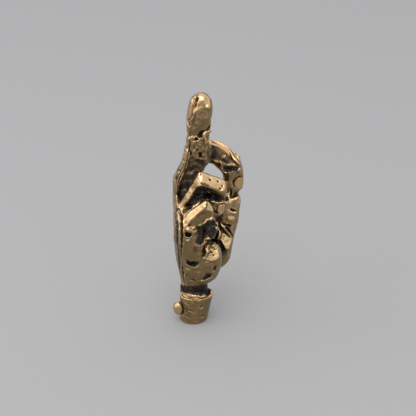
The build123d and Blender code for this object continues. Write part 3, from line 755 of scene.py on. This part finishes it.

# Grey strokes of painted shade and of a painted dark reflection, reddish stains, and edges rubbed bright
# with painted highlights along them
PAINTED_SHADE_STROKES = (
    Stroke("hand_edge", (
        (176.4, 193), (176.8, 206), (176.6, 222), (177.4, 240), (178.8, 258), (180.2, 274), (182, 286)),
        0.45),
    Stroke("raised_left", ((185.6, 132), (184.4, 146), (181.6, 160), (177.4, 172), (175.2, 184)), 0.3),
    Stroke("flap_foot", ((193, 146), (197, 152), (203, 153), (206, 148)), 0.3),
    Stroke("arched_tip_top", ((228, 171.5), (234, 170.5), (240, 172)), 0.5),
    Stroke("ring_tip_foot", ((215, 216), (219, 217.5), (224, 214)), 0.45),
    Stroke("beside_palm_edge", ((211, 227), (213.5, 233), (214.5, 238)), 0.4),
    Stroke("heel_fold", ((221, 246), (222.5, 252), (223, 258)), 0.35),
    Stroke("cuff_back_left", ((180.5, 298), (183, 304), (183.5, 310), (181.5, 317)), 0.45),
)
STAINS = (
    Stroke("arch_side", ((217.5, 151), (217.5, 155), (219.5, 158)), 0.75),
    Stroke("arch_middle", ((225.5, 154), (229, 156), (232, 159.5)), 0.6),
    Stroke("pad_edge", ((196, 114), (194, 121), (193, 128)), 0.3),
    Stroke("flap", ((199, 140), (204, 142), (203, 146)), 0.4),
    Stroke("flap_foot", ((201, 158), (205, 156)), 0.4),
    Stroke("ring_corner", ((199, 182), (203, 183.5), (210, 187)), 0.3),
    Stroke("ring_foot", ((182, 207), (184.5, 203.5)), 0.3),
    Stroke("little_underside", ((196, 217), (202, 213.5), (208, 212.5)), 0.45),
    Stroke("cuff_upper", ((192, 301.5), (195, 301.2), (198.5, 301.3)), 0.6),
    Stroke("cuff_left", ((184.5, 307.5), (187, 311), (190, 315)), 0.75),
    Stroke("side", ((194, 246), (196, 252)), 0.6),
)
# Rubbed edges with painted highlights on them, such as the palm's edge and the arch's ridge
RUBS_AND_HIGHLIGHTS = (
    Stroke("arch_ridge", ARCH_RIDGE, 0.35),
    Stroke("cuff_rim", CUFF_RIM, 0.3),
    Stroke("cuff_rim_left", ((181, 292), (184, 295), (187, 297.5)), 0.4),
    Stroke("palm_edge", PALM_EDGE, 0.25),
    Stroke("palm_ridge", ((207.5, 236), (204, 241.5), (201, 245)), 0.22),
    Stroke("heel_lip", ((185, 268), (188, 269.6), (191, 270.2)), 0.25),
    Stroke("fold_edges", ((204, 134), (206, 142.5), (209.5, 139.5)), 0.2),
    Stroke("edge_ridge", ((178, 212.5), (179.8, 219), (180, 228), (180.2, 240)), 0.2),
    Stroke("side_lip", SIDE_LIP, 0.2),
)


# Tools that work the surface

def soften(wax, area):
    """Rubs an area round."""
    weight = area_weight(wax, area)
    wax.co = wax.co + (wax.rounded(wax.co, TIP_ROUNDING) - wax.co) * weight[:, None]


def pare(wax, facet, weight):
    """Brings the area where weight is 1 to a facet's plane, along the line of sight."""
    middle = np.array(facet.through) if facet.through else np.median(wax.co[weight > 0.5], axis=0)
    weight = wax.rounded(weight, PARE_ROUNDING)[:, 0]
    rays = facet.sight.rays(wax.co)
    normal = np.array(facet.normal)
    distance = (middle - wax.co) @ normal / (rays @ normal)
    wax.co = wax.co + rays * (np.clip(distance, -PARE_REACH, PARE_REACH) * weight)[:, None]


def filling(facet):
    """Wax added behind a facet: a prism from its plane along the line of sight."""
    normal = np.array(facet.normal)
    front, back = [], []
    for point in facet.outline:
        origin, direction = facet.sight.start(point)
        place = origin + direction * ((np.array(facet.through) - origin) @ normal / (direction @ normal))
        front.append(place)
        back.append(place + FILL_DEPTH * direction)
    count = len(front)
    cap = np.array(tessellate_polygon([[Vector(place) for place in front]]))
    here = np.arange(count)
    following = (here + 1) % count
    sides = np.concatenate((
        np.stack((here, following, here + count), axis=1),
        np.stack((following, following + count, here + count), axis=1)))
    return np.array(front + back), np.concatenate((cap, cap[:, ::-1] + count, sides))


def draw_out(wax, pull):
    """Shifts a stretch of the wax, in sight or not."""
    weight = ease(outline_depth(pull.sight.flat(wax.co), pull.outline) / pull.feather)
    wax.co = wax.co + weight[:, None] * np.array(pull.shift)


def dome(wax):
    """Rounds the raised finger's flat end: nothing stands out of a paraboloid round its axis."""
    axis = np.array((cos(radians(TIP_SLOPE)), 0, sin(radians(TIP_SLOPE))))
    co = node_arrays(("raised_finger",))[0]
    along = co @ axis
    middle = co[along > along.max() - DOME_SLICE].mean(axis=0)
    height = (wax.co - middle) @ axis
    away = ((wax.co - middle) ** 2).sum(axis=1) - height ** 2
    excess = (height + DOME_DROP * away) * ease((height + DOME_REACH) / DOME_FADE)
    wax.co = wax.co - axis * np.clip(excess, 0, DOME_REACH)[:, None]


def sink(wax, hollow):
    """Sinks a hollow away from the eye, or raises a swelling towards it."""
    weight = area_weight(wax, hollow, EDGE_WOBBLE)
    index = np.flatnonzero(weight)
    if hollow.name in BESIDE_RING:
        owners = nearest_nodes(wax.co[index])
        weight[index[owners == CAST_NODES.index("ring_finger")]] = 0
        index = np.flatnonzero(weight)
    weight[index] *= 1 + HOLLOW_UNEVENNESS * unevenness(wax.co[index], WOBBLE_SIZE)
    weight = wax.rounded(weight, WALL_ROUNDING)[:, 0]
    wax.co = wax.co + hollow.sight.rays(wax.co) * (hollow.depth * weight)[:, None]


# Node trees

class Tree:
    """Adds nodes to a geometry or shader tree."""

    def __init__(self, tree):
        self.tree = tree

    def node(self, kind, settings=None, **inputs):
        """A node of one kind, with its settings made first, then its sockets set or linked by name."""
        made = self.tree.nodes.new(kind)
        for name, value in (settings or {}).items():
            setattr(made, name, value)
        for name, value in inputs.items():
            key = int(name[1:]) if name[1:].isdigit() else name.replace("_", " ")
            self.feed(made.inputs[key], value)
        return made

    def feed(self, socket, value):
        """Links a socket to a value's socket, or sets it to a plain value."""
        if isinstance(value, Value):
            value = value.socket
        if isinstance(value, bpy.types.NodeSocket):
            self.tree.links.new(value, socket)
        else:
            socket.default_value = value

    def value(self, made, output=0):
        return Value(self, made.outputs[output])

    def mixed(self, share, first, second):
        """A colour that goes from the first to the second."""
        made = self.node("ShaderNodeMix", {"data_type": "RGBA"}, _0=share, _6=first, _7=second)
        return made.outputs[2]


class Value:
    """A socket that takes part in plain arithmetic. Each operation adds a Math node."""

    def __init__(self, tree, socket):
        self.tree = tree
        self.socket = socket

    def math(self, operation, first, second):
        made = self.tree.node("ShaderNodeMath", {"operation": operation}, _0=first, _1=second)
        return self.tree.value(made)

    def __add__(self, other):
        return self.math("ADD", self, other)

    def __sub__(self, other):
        return self.math("SUBTRACT", self, other)

    def __mul__(self, other):
        return self.math("MULTIPLY", self, other)

    def __truediv__(self, other):
        return self.math("DIVIDE", self, other)

    def __radd__(self, other):
        return self.math("ADD", other, self)

    def __rsub__(self, other):
        return self.math("SUBTRACT", other, self)

    def __rmul__(self, other):
        return self.math("MULTIPLY", other, self)

    def __rtruediv__(self, other):
        return self.math("DIVIDE", other, self)

    def clamped(self):
        """The value kept between 0 and 1."""
        return self.tree.value(self.tree.node("ShaderNodeClamp", Value=self))

    def between(self, low, high):
        """0 below low and 1 above high, with soft ends."""
        made = self.tree.node(
            "ShaderNodeMapRange", {"interpolation_type": "SMOOTHSTEP"},
            Value=self, From_Min=low, From_Max=high)
        return self.tree.value(made)


def empty_tree(owner):
    """The node tree of a material or a world, with nothing in it."""
    owner.use_nodes = True
    owner.node_tree.nodes.clear()
    return Tree(owner.node_tree)


# Grain of the casting, as a node tree that moves the skin along its normals

GRAIN_INPUTS = (
    "Lump Depth", "Lump Size", "Grain Depth", "Grain Size", "Pit Depth", "Pit Cell", "Pit Share", "Seed",
)


def casting_grain():
    """Node tree that gives a skin its lumps, grain and pits."""
    group = bpy.data.node_groups.new("casting_grain", "GeometryNodeTree")
    face = group.interface
    face.new_socket("Geometry", in_out="INPUT", socket_type="NodeSocketGeometry")
    for name in GRAIN_INPUTS:
        face.new_socket(name, in_out="INPUT", socket_type="NodeSocketFloat")
    face.new_socket("Finish", in_out="INPUT", socket_type="NodeSocketMaterial")
    face.new_socket("Geometry", in_out="OUTPUT", socket_type="NodeSocketGeometry")
    tree = Tree(group)
    given = tree.node("NodeGroupInput")
    sizes = {name: tree.value(given, name) for name in GRAIN_INPUTS}
    place = tree.value(tree.node("GeometryNodeInputPosition"))
    rough = tree.value(tree.node("GeometryNodeInputNamedAttribute", {"data_type": "FLOAT"}, Name="rough"))

    def swells(size, detail):
        made = tree.node(
            "ShaderNodeTexNoise", {"noise_dimensions": "4D"}, Vector=place, W=sizes["Seed"],
            Scale=1 / size, Detail=detail, Roughness=GRAIN_HARSHNESS)
        return tree.value(made) - 0.5

    lumps = swells(sizes["Lump Size"], LUMP_DETAIL) * sizes["Lump Depth"] * (1 + rough)
    grain = swells(sizes["Grain Size"], GRAIN_DETAIL) * sizes["Grain Depth"] * (1 + rough * ROUGH_GRAIN)
    cells = tree.node(
        "ShaderNodeTexVoronoi", {"voronoi_dimensions": "4D"}, Vector=place, W=sizes["Seed"],
        Scale=1 / sizes["Pit Cell"])
    chance = tree.node("FunctionNodeSeparateColor", Color=cells.outputs["Color"])
    draw = tree.value(chance, "Red")
    pitted = draw.math("LESS_THAN", draw, sizes["Pit Share"] + rough * ROUGH_PITS)
    radius = PIT_LEAST_RADIUS + PIT_RADIUS_SPREAD * tree.value(chance, "Green")
    pit = (1 - tree.value(cells, "Distance") / radius).clamped()
    rise = lumps + grain - pit.between(0, PIT_FLOOR) * pitted * sizes["Pit Depth"]
    normal = tree.node("GeometryNodeInputNormal").outputs[0]
    offset = tree.node("ShaderNodeVectorMath", {"operation": "SCALE"}, _0=normal, Scale=rise)
    moved = tree.node(
        "GeometryNodeSetPosition", Geometry=given.outputs["Geometry"], Offset=offset.outputs[0])
    whole = tree.node("GeometryNodeRealizeInstances", Geometry=moved.outputs[0])
    finished = tree.node(
        "GeometryNodeSetMaterial", Geometry=whole.outputs[0], Material=given.outputs["Finish"])
    tree.node("NodeGroupOutput", Geometry=finished.outputs[0])
    return group


GRAIN_TREE = casting_grain()


def add_mark(mesh, name, values):
    """A number on each point of a mesh, which node trees can read."""
    mesh.attributes.new(name, "FLOAT", "POINT").data.foreach_set("value", values.astype(np.float32))


def with_grain(wax, rough, lump_depth, grain_depth, pit_depth, finish):
    """The skin with the casting's unevenness on it."""
    mesh = new_mesh("grain", wax.co, wax.faces)
    add_mark(mesh, "rough", rough)
    settings = {
        "Lump Depth": lump_depth, "Lump Size": LUMP_SIZE, "Grain Depth": grain_depth,
        "Grain Size": GRAIN_SIZE, "Pit Depth": pit_depth, "Pit Cell": PIT_CELL, "Pit Share": PIT_SHARE,
        "Seed": float(GRAIN_SEED), "Finish": finish,
    }

    def fit(worker):
        grain = worker.modifiers.new("grain", "NODES")
        grain.node_group = GRAIN_TREE
        for item in GRAIN_TREE.interface.items_tree:
            if item.name in settings and item.in_out == "INPUT":
                grain[item.identifier] = settings[item.name]

    return Wax(*mesh_arrays(evaluated(mesh, fit)))


# Finishes

# Bright brass is also the colour of the painted light and the painted highlights
BRIGHT_BRASS = (0.72, 0.49, 0.26, 1)
FILMED_BRASS = (0.25, 0.174, 0.077, 1)
RED_STAIN = (0.14, 0.058, 0.03, 1)
# Grey and black patina colours, which also paint the shade on the wrist and along the shade strokes
GREY_PATINA_AND_SHADE = (0.06, 0.05, 0.043, 1)
DARK_PATINA_AND_SHADE = (0.006, 0.005, 0.0045, 1)

# Speckle of the finishes: its size in millimetres, its detail and its harshness
BROAD_SPECKLE = (2.6, 4.0, 0.6)
FINE_SPECKLE = (0.32, 5.0, 0.65)
GLINT_SPECKLE = (0.3, 3.0, 0.6)
BUMP_SPECKLE = (0.14, 4.0, 0.6)

# How far the fine and the broad speckle break up each mark
BROKEN_UP = {"patina_and_shade": (1.0, 0.55), "wear_and_light": (0.5, 0.5), "stain": (1.4, 0.8)}
GLINT_GAP = 0.6
FILM_GAP = 0.7

# Where each finish begins and where it is full
GLINT_BAND = (0.55, 0.7)
# The patina and black bands also place the painted shade
PATINA_BAND = (0.25, 0.62)
BLACK_BAND = (0.6, 1.0)
# The rubbed band also places the painted light and the painted highlights
RUBBED_BAND = (0.2, 0.9)
STAINED_BAND = (0.35, 1.0)

# Sheen of the finishes
FILM_ROUGHNESS = 0.28
RUBBED_SHINE = 0.1
STAIN_DULLNESS = 0.14
PATINA_DULLNESS = 0.16
SPECKLE_DULLNESS = 0.2
PATINA_COVER = 0.8
STAIN_COVER = 0.35
SPECULAR = 0.25
BUMP_STRENGTH = 0.35
BUMP_HEIGHT = 0.05
BROAD_BUMP = 0.5
AGED_FILM = 1.0
WORN_FILM = 0.6


def brass(name, film_and_shade):
    """Old brass: bright where it is rubbed and where light and highlights are painted on, filmed with
    brown elsewhere, black in the hollows, where patina and painted shade lie.
    """
    material = bpy.data.materials.new(name)
    tree = empty_tree(material)
    place = tree.node("ShaderNodeTexCoord").outputs["Object"]

    def speckle(size, detail, harshness):
        made = tree.node(
            "ShaderNodeTexNoise", Vector=place, Scale=1 / (size * MM), Detail=detail, Roughness=harshness)
        return tree.value(made)

    broad = speckle(*BROAD_SPECKLE) - 0.5
    fine = speckle(*FINE_SPECKLE) - 0.5
    glint = speckle(*GLINT_SPECKLE).between(*GLINT_BAND)

    def mark(attribute):
        """A mark of the skin, broken up by the speckle."""
        plain = tree.value(tree.node("ShaderNodeAttribute", {"attribute_name": attribute}), "Fac")
        fine_share, broad_share = BROKEN_UP[attribute]
        return plain + fine * fine_share + broad * broad_share

    # Patina together with painted shade, broken by glints of bare brass
    darkening = mark("patina_and_shade") - glint * GLINT_GAP
    patina_and_shade = darkening.between(*PATINA_BAND)
    black = darkening.between(*BLACK_BAND)
    # Rubbed brass together with painted light on faces that look up and painted highlights along edges
    rubbed_and_lit = mark("wear_and_light").between(*RUBBED_BAND)
    stained = mark("stain").between(*STAINED_BAND)
    filmed = tree.mixed((film_and_shade + fine * FILM_GAP).clamped(), BRIGHT_BRASS, FILMED_BRASS)
    metal = tree.mixed(stained, tree.mixed(rubbed_and_lit, filmed, BRIGHT_BRASS), RED_STAIN)
    colour = tree.mixed(black, tree.mixed(patina_and_shade, metal, GREY_PATINA_AND_SHADE), DARK_PATINA_AND_SHADE)
    roughness = (FILM_ROUGHNESS - RUBBED_SHINE * rubbed_and_lit + STAIN_DULLNESS * stained
                 + PATINA_DULLNESS * patina_and_shade + SPECKLE_DULLNESS * fine)
    metallic = 1 - PATINA_COVER * patina_and_shade - STAIN_COVER * stained * (1 - patina_and_shade)
    relief = tree.node(
        "ShaderNodeBump", Strength=BUMP_STRENGTH, Distance=BUMP_HEIGHT * MM,
        Height=speckle(*BUMP_SPECKLE) + broad * BROAD_BUMP)
    shader = tree.node(
        "ShaderNodeBsdfPrincipled", Base_Color=colour, Metallic=metallic, Roughness=roughness.clamped(),
        Specular_IOR_Level=SPECULAR, Normal=relief.outputs[0])
    tree.node("ShaderNodeOutputMaterial", Surface=shader.outputs[0])
    return material


AGED_BRASS = brass("aged_brass", AGED_FILM)
WORN_BRASS = brass("worn_brass", WORN_FILM)


# Patina with painted shade, wear with painted light and highlights, and stains, as marks on the skin's
# points

def relief_marks(wax):
    """How far each point stands above its neighbourhood, over a small and a wider stretch."""
    marks = []
    for rounds in (SMALL_STRETCH, WIDE_STRETCH):
        level = wax.rounded(wax.co, rounds)
        marks.append(((wax.co - level) * wax.normal).sum(axis=1))
    return marks


def shade_mark(wax):
    """Share of the sky that the charm itself hides from each point."""
    coarse = voxel_skin(wax.co, wax.faces, SHADE_VOXEL)
    random = np.random.default_rng(SHADE_SEED)
    sky = random.normal(size=(SHADE_RAYS, 3))
    sky /= np.linalg.norm(sky, axis=1, keepdims=True)
    found = KDTree(len(coarse.co))
    shade = np.zeros(len(coarse.co))
    for index, (place, normal) in enumerate(zip(coarse.co, coarse.normal)):
        found.insert(place, index)
        start = Vector(place + SHADE_LIFT * normal)
        hidden = 0
        for direction in sky:
            facing = direction + SHADE_LEAN * normal
            if coarse.tree.ray_cast(start, Vector(facing), SHADE_REACH)[0] is not None:
                hidden += 1
        shade[index] = hidden / SHADE_RAYS
    found.balance()
    nearest = np.array([found.find(place)[1] for place in wax.co])
    return wax.rounded(shade[nearest], SHADE_ROUNDING)[:, 0]


def hollow_patina(wax, ring):
    """Patina that lies in the hollows. A hollow behind the ring finger leaves that finger bare."""
    darkening = np.zeros(len(wax.co))
    for hollow in HOLLOWS:
        inside = area_weight(wax, hollow, EDGE_WOBBLE)
        if hollow.name in BESIDE_RING:
            inside = inside * (1 - ring)
        darkening = np.maximum(darkening, hollow.dark * inside)
    return wax.rounded(darkening, PATINA_ROUNDING)[:, 0]


def finish_marks(wax, wrist, ring):
    """Marks that the finish reads: patina with painted shade, wear with painted light and painted
    highlights, and stain. wrist and ring are 1 on those two nodes.
    """
    small, wide = relief_marks(wax)
    shade = shade_mark(wax)
    patina_and_shade = PATINA_IN_SHADE * shade - PATINA_OFF_SWELLS * wide - PATINA_OFF_EDGES * small - PATINA_START
    patina_and_shade = np.maximum(patina_and_shade, hollow_patina(wax, ring))
    for line in LINES:
        if line.depth > 0:
            weight = line_weight(wax, line, LINE_PATINA_WIDTH)
            patina_and_shade = patina_and_shade + min(line.depth * LINE_PATINA, LINE_PATINA_MOST) * weight
    # Painted shade and a painted dark reflection, laid on along strokes as grey patina colour
    for film_and_shade in PAINTED_SHADE_STROKES:
        patina_and_shade = np.maximum(patina_and_shade, PAINTED_SHADE_MARK * line_weight(wax, film_and_shade))
    # Painted shade with patina: the whole wrist is darkened
    patina_and_shade = np.maximum(patina_and_shade, WRIST_PATINA_AND_SHADE * wrist)
    # Wear together with painted light: faces that look up are brightened
    wear_and_light = (WEAR_ALL_OVER + WEAR_ON_SWELLS * wide + WEAR_ON_EDGES * small
            + PAINTED_LIGHT_FROM_ABOVE * wax.normal[:, 2] - WEAR_OFF_SHADE * shade)
    # Painted highlights together with rubbed edges: bright brass, with the patina lifted under them
    for rub_and_highlight in RUBS_AND_HIGHLIGHTS:
        weight = line_weight(wax, rub_and_highlight)
        wear_and_light = np.maximum(wear_and_light, weight)
        patina_and_shade = patina_and_shade * (1 - weight)
    stain = np.zeros(len(wax.co))
    for stroke in STAINS:
        stain = np.maximum(stain, STAIN_MARK * line_weight(wax, stroke))
    return {"patina_and_shade": np.clip(patina_and_shade, 0, 1), "wear_and_light": np.clip(wear_and_light, 0, 1), "stain": np.clip(stain, 0, 1)}


# Parting the cast into one piece for each node

def face_pairs(faces):
    """Pairs of faces that share an edge."""
    edges = np.sort(face_edges(faces), axis=1)
    owner = np.repeat(np.arange(len(faces)), faces.shape[1])
    order = np.lexsort((edges[:, 1], edges[:, 0]))
    edges, owner = edges[order], owner[order]
    same = (edges[1:] == edges[:-1]).all(axis=1)
    return np.stack((owner[:-1][same], owner[1:][same]), axis=1)


def smooth_labels(labels, links, count):
    """Labels that follow most of their neighbours."""
    for _ in range(BORDER_ROUNDS):
        votes = np.zeros((len(labels), count))
        np.add.at(votes, (links[:, 0], labels[links[:, 1]]), 1)
        votes[np.arange(len(labels)), labels] += OWN_VOTE
        labels = votes.argmax(axis=1)
    return labels


def largest_patches(labels, group, count):
    """True on the largest connected patch of each label."""
    size = np.bincount(group, minlength=len(labels))
    main = np.zeros(len(labels), bool)
    for label in range(count):
        own = np.flatnonzero(labels == label)
        if len(own):
            main |= group == group[own[size[group[own]].argmax()]]
    return main


def settled_labels(labels, pairs, count):
    """Labels with smooth borders, each in one connected patch."""
    links = np.concatenate((pairs, pairs[:, ::-1]))
    labels = smooth_labels(labels, links, count)
    for _ in range(STRAY_ROUNDS):
        group = connected(len(labels), pairs[labels[pairs[:, 0]] == labels[pairs[:, 1]]])
        main = largest_patches(labels, group, count)
        if main.all():
            break
        votes = np.zeros((len(labels), count))
        outer = links[~main[links[:, 0]] & (labels[links[:, 0]] != labels[links[:, 1]])]
        np.add.at(votes, (group[outer[:, 0]], labels[outer[:, 1]]), 1)
        stray = np.flatnonzero(~main)
        labels[stray] = votes[group[stray]].argmax(axis=1)
    return labels


def node_share(wax, labels, node):
    """1 on the points of one node's faces, easing to 0 round them."""
    share = np.zeros(len(wax.co))
    share[wax.faces[labels == CAST_NODES.index(node)]] = 1
    return wax.rounded(share, CAST_ROUNDING)[:, 0]


def border_loops(faces):
    """Closed loops of vertices round the openings of a patch of faces."""
    edges = face_edges(faces).tolist()
    known = set(map(tuple, edges))
    onward = {}
    for a, b in edges:
        if (b, a) not in known:
            onward.setdefault(a, []).append(b)
    loops = []
    while onward:
        start = next(iter(onward))
        loop = [start]
        while True:
            following = onward[loop[-1]].pop()
            if not onward[loop[-1]]:
                del onward[loop[-1]]
            if following == start:
                break
            loop.append(following)
        loops.append(loop)
    return loops


def sharpen(mesh, rims):
    """Keeps some edges of a smooth mesh sharp."""
    ends = np.empty(len(mesh.edges) * 2, np.int32)
    mesh.edges.foreach_get("vertices", ends)
    pairs = np.sort(ends.reshape(-1, 2), axis=1).tolist()
    sharp = mesh.attributes.new("sharp_edge", "BOOLEAN", "EDGE")
    sharp.data.foreach_set("value", np.array([tuple(pair) in rims for pair in pairs], bool))


def closed_piece(name, wax, faces, marks, finish):
    """A piece of the cast as an object of its own, with its openings closed inside the metal."""
    used, inverse = np.unique(faces, return_inverse=True)
    own = inverse.reshape(faces.shape)
    co = wax.co[used]
    polygons = own.tolist()
    extra = []
    rims = set()
    for loop in border_loops(own):
        middle = len(co) + len(extra)
        extra.append(co[loop].mean(axis=0))
        for a, b in zip(loop, loop[1:] + loop[:1]):
            polygons.append((b, a, middle))
            rims.add((min(a, b), max(a, b)))
    places = np.concatenate((co, np.array(extra).reshape(-1, 3)))
    low, high = (np.array(corner) for corner in CAD_BOX)
    mesh = bpy.data.meshes.new(name)
    mesh.from_pydata(np.clip(places * MM, low, high).tolist(), [], polygons)
    mesh.polygons.foreach_set("use_smooth", np.ones(len(polygons), bool))
    sharpen(mesh, rims)
    for mark, values in marks.items():
        add_mark(mesh, mark, np.concatenate((values[used], np.zeros(len(extra)))))
    mesh.materials.append(finish)
    return put(name, mesh)


def stand_for(piece, node):
    """The piece rides on the body and replaces its CAD node."""
    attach(piece, "root")
    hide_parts(node)


def worked_wax():
    """The nodes joined into one skin, with its flats, swellings and hollows."""
    places, triangles = NODE_PLACES, NODE_TRIANGLES
    for facet in FACETS:
        if facet.through:
            more, faces = filling(facet)
            triangles = np.concatenate((triangles, faces + len(places)))
            places = np.concatenate((places, more))
    wax = voxel_skin(places, triangles, WAX_VOXEL)
    dome(wax)
    wax.smooth(WAX_ROUNDING)
    for area in ROUNDED:
        soften(wax, area)
    for pull in PULLS:
        draw_out(wax, pull)
    wax.refresh()
    for mound in MOUNDS:
        sink(wax, mound)
    wax.refresh()
    weights = [area_weight(wax, facet) for facet in FACETS]
    for facet, weight in zip(FACETS, weights):
        pare(wax, facet, weight)
    wax.refresh()
    for hollow in HOLLOWS:
        sink(wax, hollow)
    return wax


def cast_metal(wax):
    """The wax as metal: a finer skin with the cut lines and the mould's grain."""
    cast = voxel_skin(wax.co, wax.faces, CAST_VOXEL)
    cast.smooth(CAST_ROUNDING)
    for line in LINES:
        cast.press(line_weight(cast, line), line.depth)
    cast.refresh()
    rough = np.zeros(len(cast.co))
    for area in ROUGH:
        rough = np.maximum(rough, area_weight(cast, area))
    for hollow in HOLLOWS:
        rough = np.maximum(rough, hollow.dark * area_weight(cast, hollow))
    return with_grain(cast, rough, LUMP_DEPTH, GRAIN_DEPTH, PIT_DEPTH, AGED_BRASS)


def cast_hand():
    """All the cast pieces, worked as one surface and then parted."""
    cast = cast_metal(worked_wax())
    labels = nearest_nodes(cast.co[cast.faces].mean(axis=1))
    labels = settled_labels(labels, face_pairs(cast.faces), len(CAST_NODES))
    wrist, ring = (node_share(cast, labels, node) for node in ("wrist", "ring_finger"))
    marks = finish_marks(cast, wrist, ring)
    for number, node in enumerate(CAST_NODES):
        piece = closed_piece(f"cast_{node}", cast, cast.faces[labels == number], marks, AGED_BRASS)
        stand_for(piece, node)


def trim_piece(node):
    """A nail or the button, a separate plate or ball in its bed."""
    co, triangles, _ = node_arrays((node,))
    trim = voxel_skin(co, triangles, TRIM_VOXEL)
    trim.smooth(CAST_ROUNDING)
    bare = np.zeros(len(trim.co))
    trim = with_grain(trim, bare, TRIM_LUMP_DEPTH, TRIM_GRAIN_DEPTH, 0.0, WORN_BRASS)
    small, wide = relief_marks(trim)
    patina_and_shade = np.clip(-TRIM_PATINA_OFF_EDGES * small - wide, 0, 1)
    wear_and_light = np.clip(TRIM_WEAR + TRIM_WEAR_ON_SWELLS * wide, 0, 1)
    marks = {"patina_and_shade": patina_and_shade, "wear_and_light": wear_and_light, "stain": bare}
    piece = closed_piece(f"cast_{node}", trim, trim.faces, marks, WORN_BRASS)
    stand_for(piece, node)


cast_hand()
for trim_node in TRIM_NODES:
    trim_piece(trim_node)


# Floor, light and camera

FLOOR_REACH = 3.0
FLOOR_COLOUR = (0.40, 0.40, 0.405, 1)
FLOOR_SHADE = (0.37, 0.37, 0.375, 1)
FLOOR_GRAIN = 1400.0
FLOOR_DETAIL = 3.0
FLOOR_ROUGHNESS = 0.9
HORIZON_COLOUR = (0.17, 0.17, 0.175, 1)
SKY_COLOUR = (0.95, 0.95, 0.96, 1)
SKY_START = 0.05
SKY_FULL = 0.42
SIDE_SIZE = 0.34
SIDE_PLACE = (-0.36, -0.05, 0.17)
SIDE_WATTS = 0.34
KEY_SIZE = 0.24
KEY_LEFT = 0.02
KEY_DISTANCE = 0.38
KEY_HEIGHT_ANGLE = 70
KEY_WATTS = 0.42


def floor():
    reach = FLOOR_REACH
    corners = np.array(((-reach, -reach, 0), (reach, -reach, 0), (reach, reach, 0), (-reach, reach, 0)))
    mesh = new_mesh("floor", corners, np.arange(len(corners))[None])
    material = bpy.data.materials.new("floor")
    tree = empty_tree(material)
    place = tree.node("ShaderNodeTexCoord").outputs["Object"]
    grain = tree.node("ShaderNodeTexNoise", Vector=place, Scale=FLOOR_GRAIN, Detail=FLOOR_DETAIL)
    colour = tree.mixed(grain.outputs[0], FLOOR_SHADE, FLOOR_COLOUR)
    shader = tree.node("ShaderNodeBsdfPrincipled", Base_Color=colour, Roughness=FLOOR_ROUGHNESS)
    tree.node("ShaderNodeOutputMaterial", Surface=shader.outputs[0])
    mesh.materials.append(material)
    put("floor", mesh)


def lamp(name, size, watts, place):
    """A square lamp that faces the middle of the charm."""
    light = bpy.data.lights.new(name, "AREA")
    light.shape = "SQUARE"
    light.size = size
    light.energy = watts
    made = put(name, light)
    low, high = CAD_BOX
    aim = (low + high) / 2
    made.location = place
    made.rotation_euler = (Vector(place) - aim).to_track_quat("Z", "Y").to_euler()


def studio():
    """A soft sky above a grey horizon, a panel at the left and a small key light."""
    world = bpy.data.worlds.new("studio")
    tree = empty_tree(world)
    direction = tree.node("ShaderNodeTexCoord").outputs["Generated"]
    height = tree.value(tree.node("ShaderNodeSeparateXYZ", Vector=direction), "Z")
    colour = tree.mixed(height.between(SKY_START, SKY_FULL), HORIZON_COLOUR, SKY_COLOUR)
    background = tree.node("ShaderNodeBackground", Color=colour)
    tree.node("ShaderNodeOutputWorld", Surface=background.outputs[0])
    bpy.context.scene.world = world
    lamp("side_panel", SIDE_SIZE, SIDE_WATTS, SIDE_PLACE)
    angle = radians(KEY_HEIGHT_ANGLE)
    lamp("key", KEY_SIZE, KEY_WATTS, (-KEY_LEFT, -KEY_DISTANCE * cos(angle), KEY_DISTANCE * sin(angle)))


def camera():
    """The photograph's camera."""
    lens = bpy.data.cameras.new("camera")
    lens.sensor_width = SENSOR_MM
    lens.lens = SENSOR_MM * FOCAL_PIXELS / PICTURE_PIXELS
    lens.clip_start = NEAREST_SEEN
    made = put("camera", lens)
    axes = Matrix((PHOTO.right, -PHOTO.down, -PHOTO.ahead)).transposed()
    made.matrix_world = Matrix.Translation(Vector(EYE * MM)) @ axes.to_4x4()
    bpy.context.scene.camera = made


floor()
studio()
camera()
bpy.context.scene.view_settings.view_transform = "Standard"
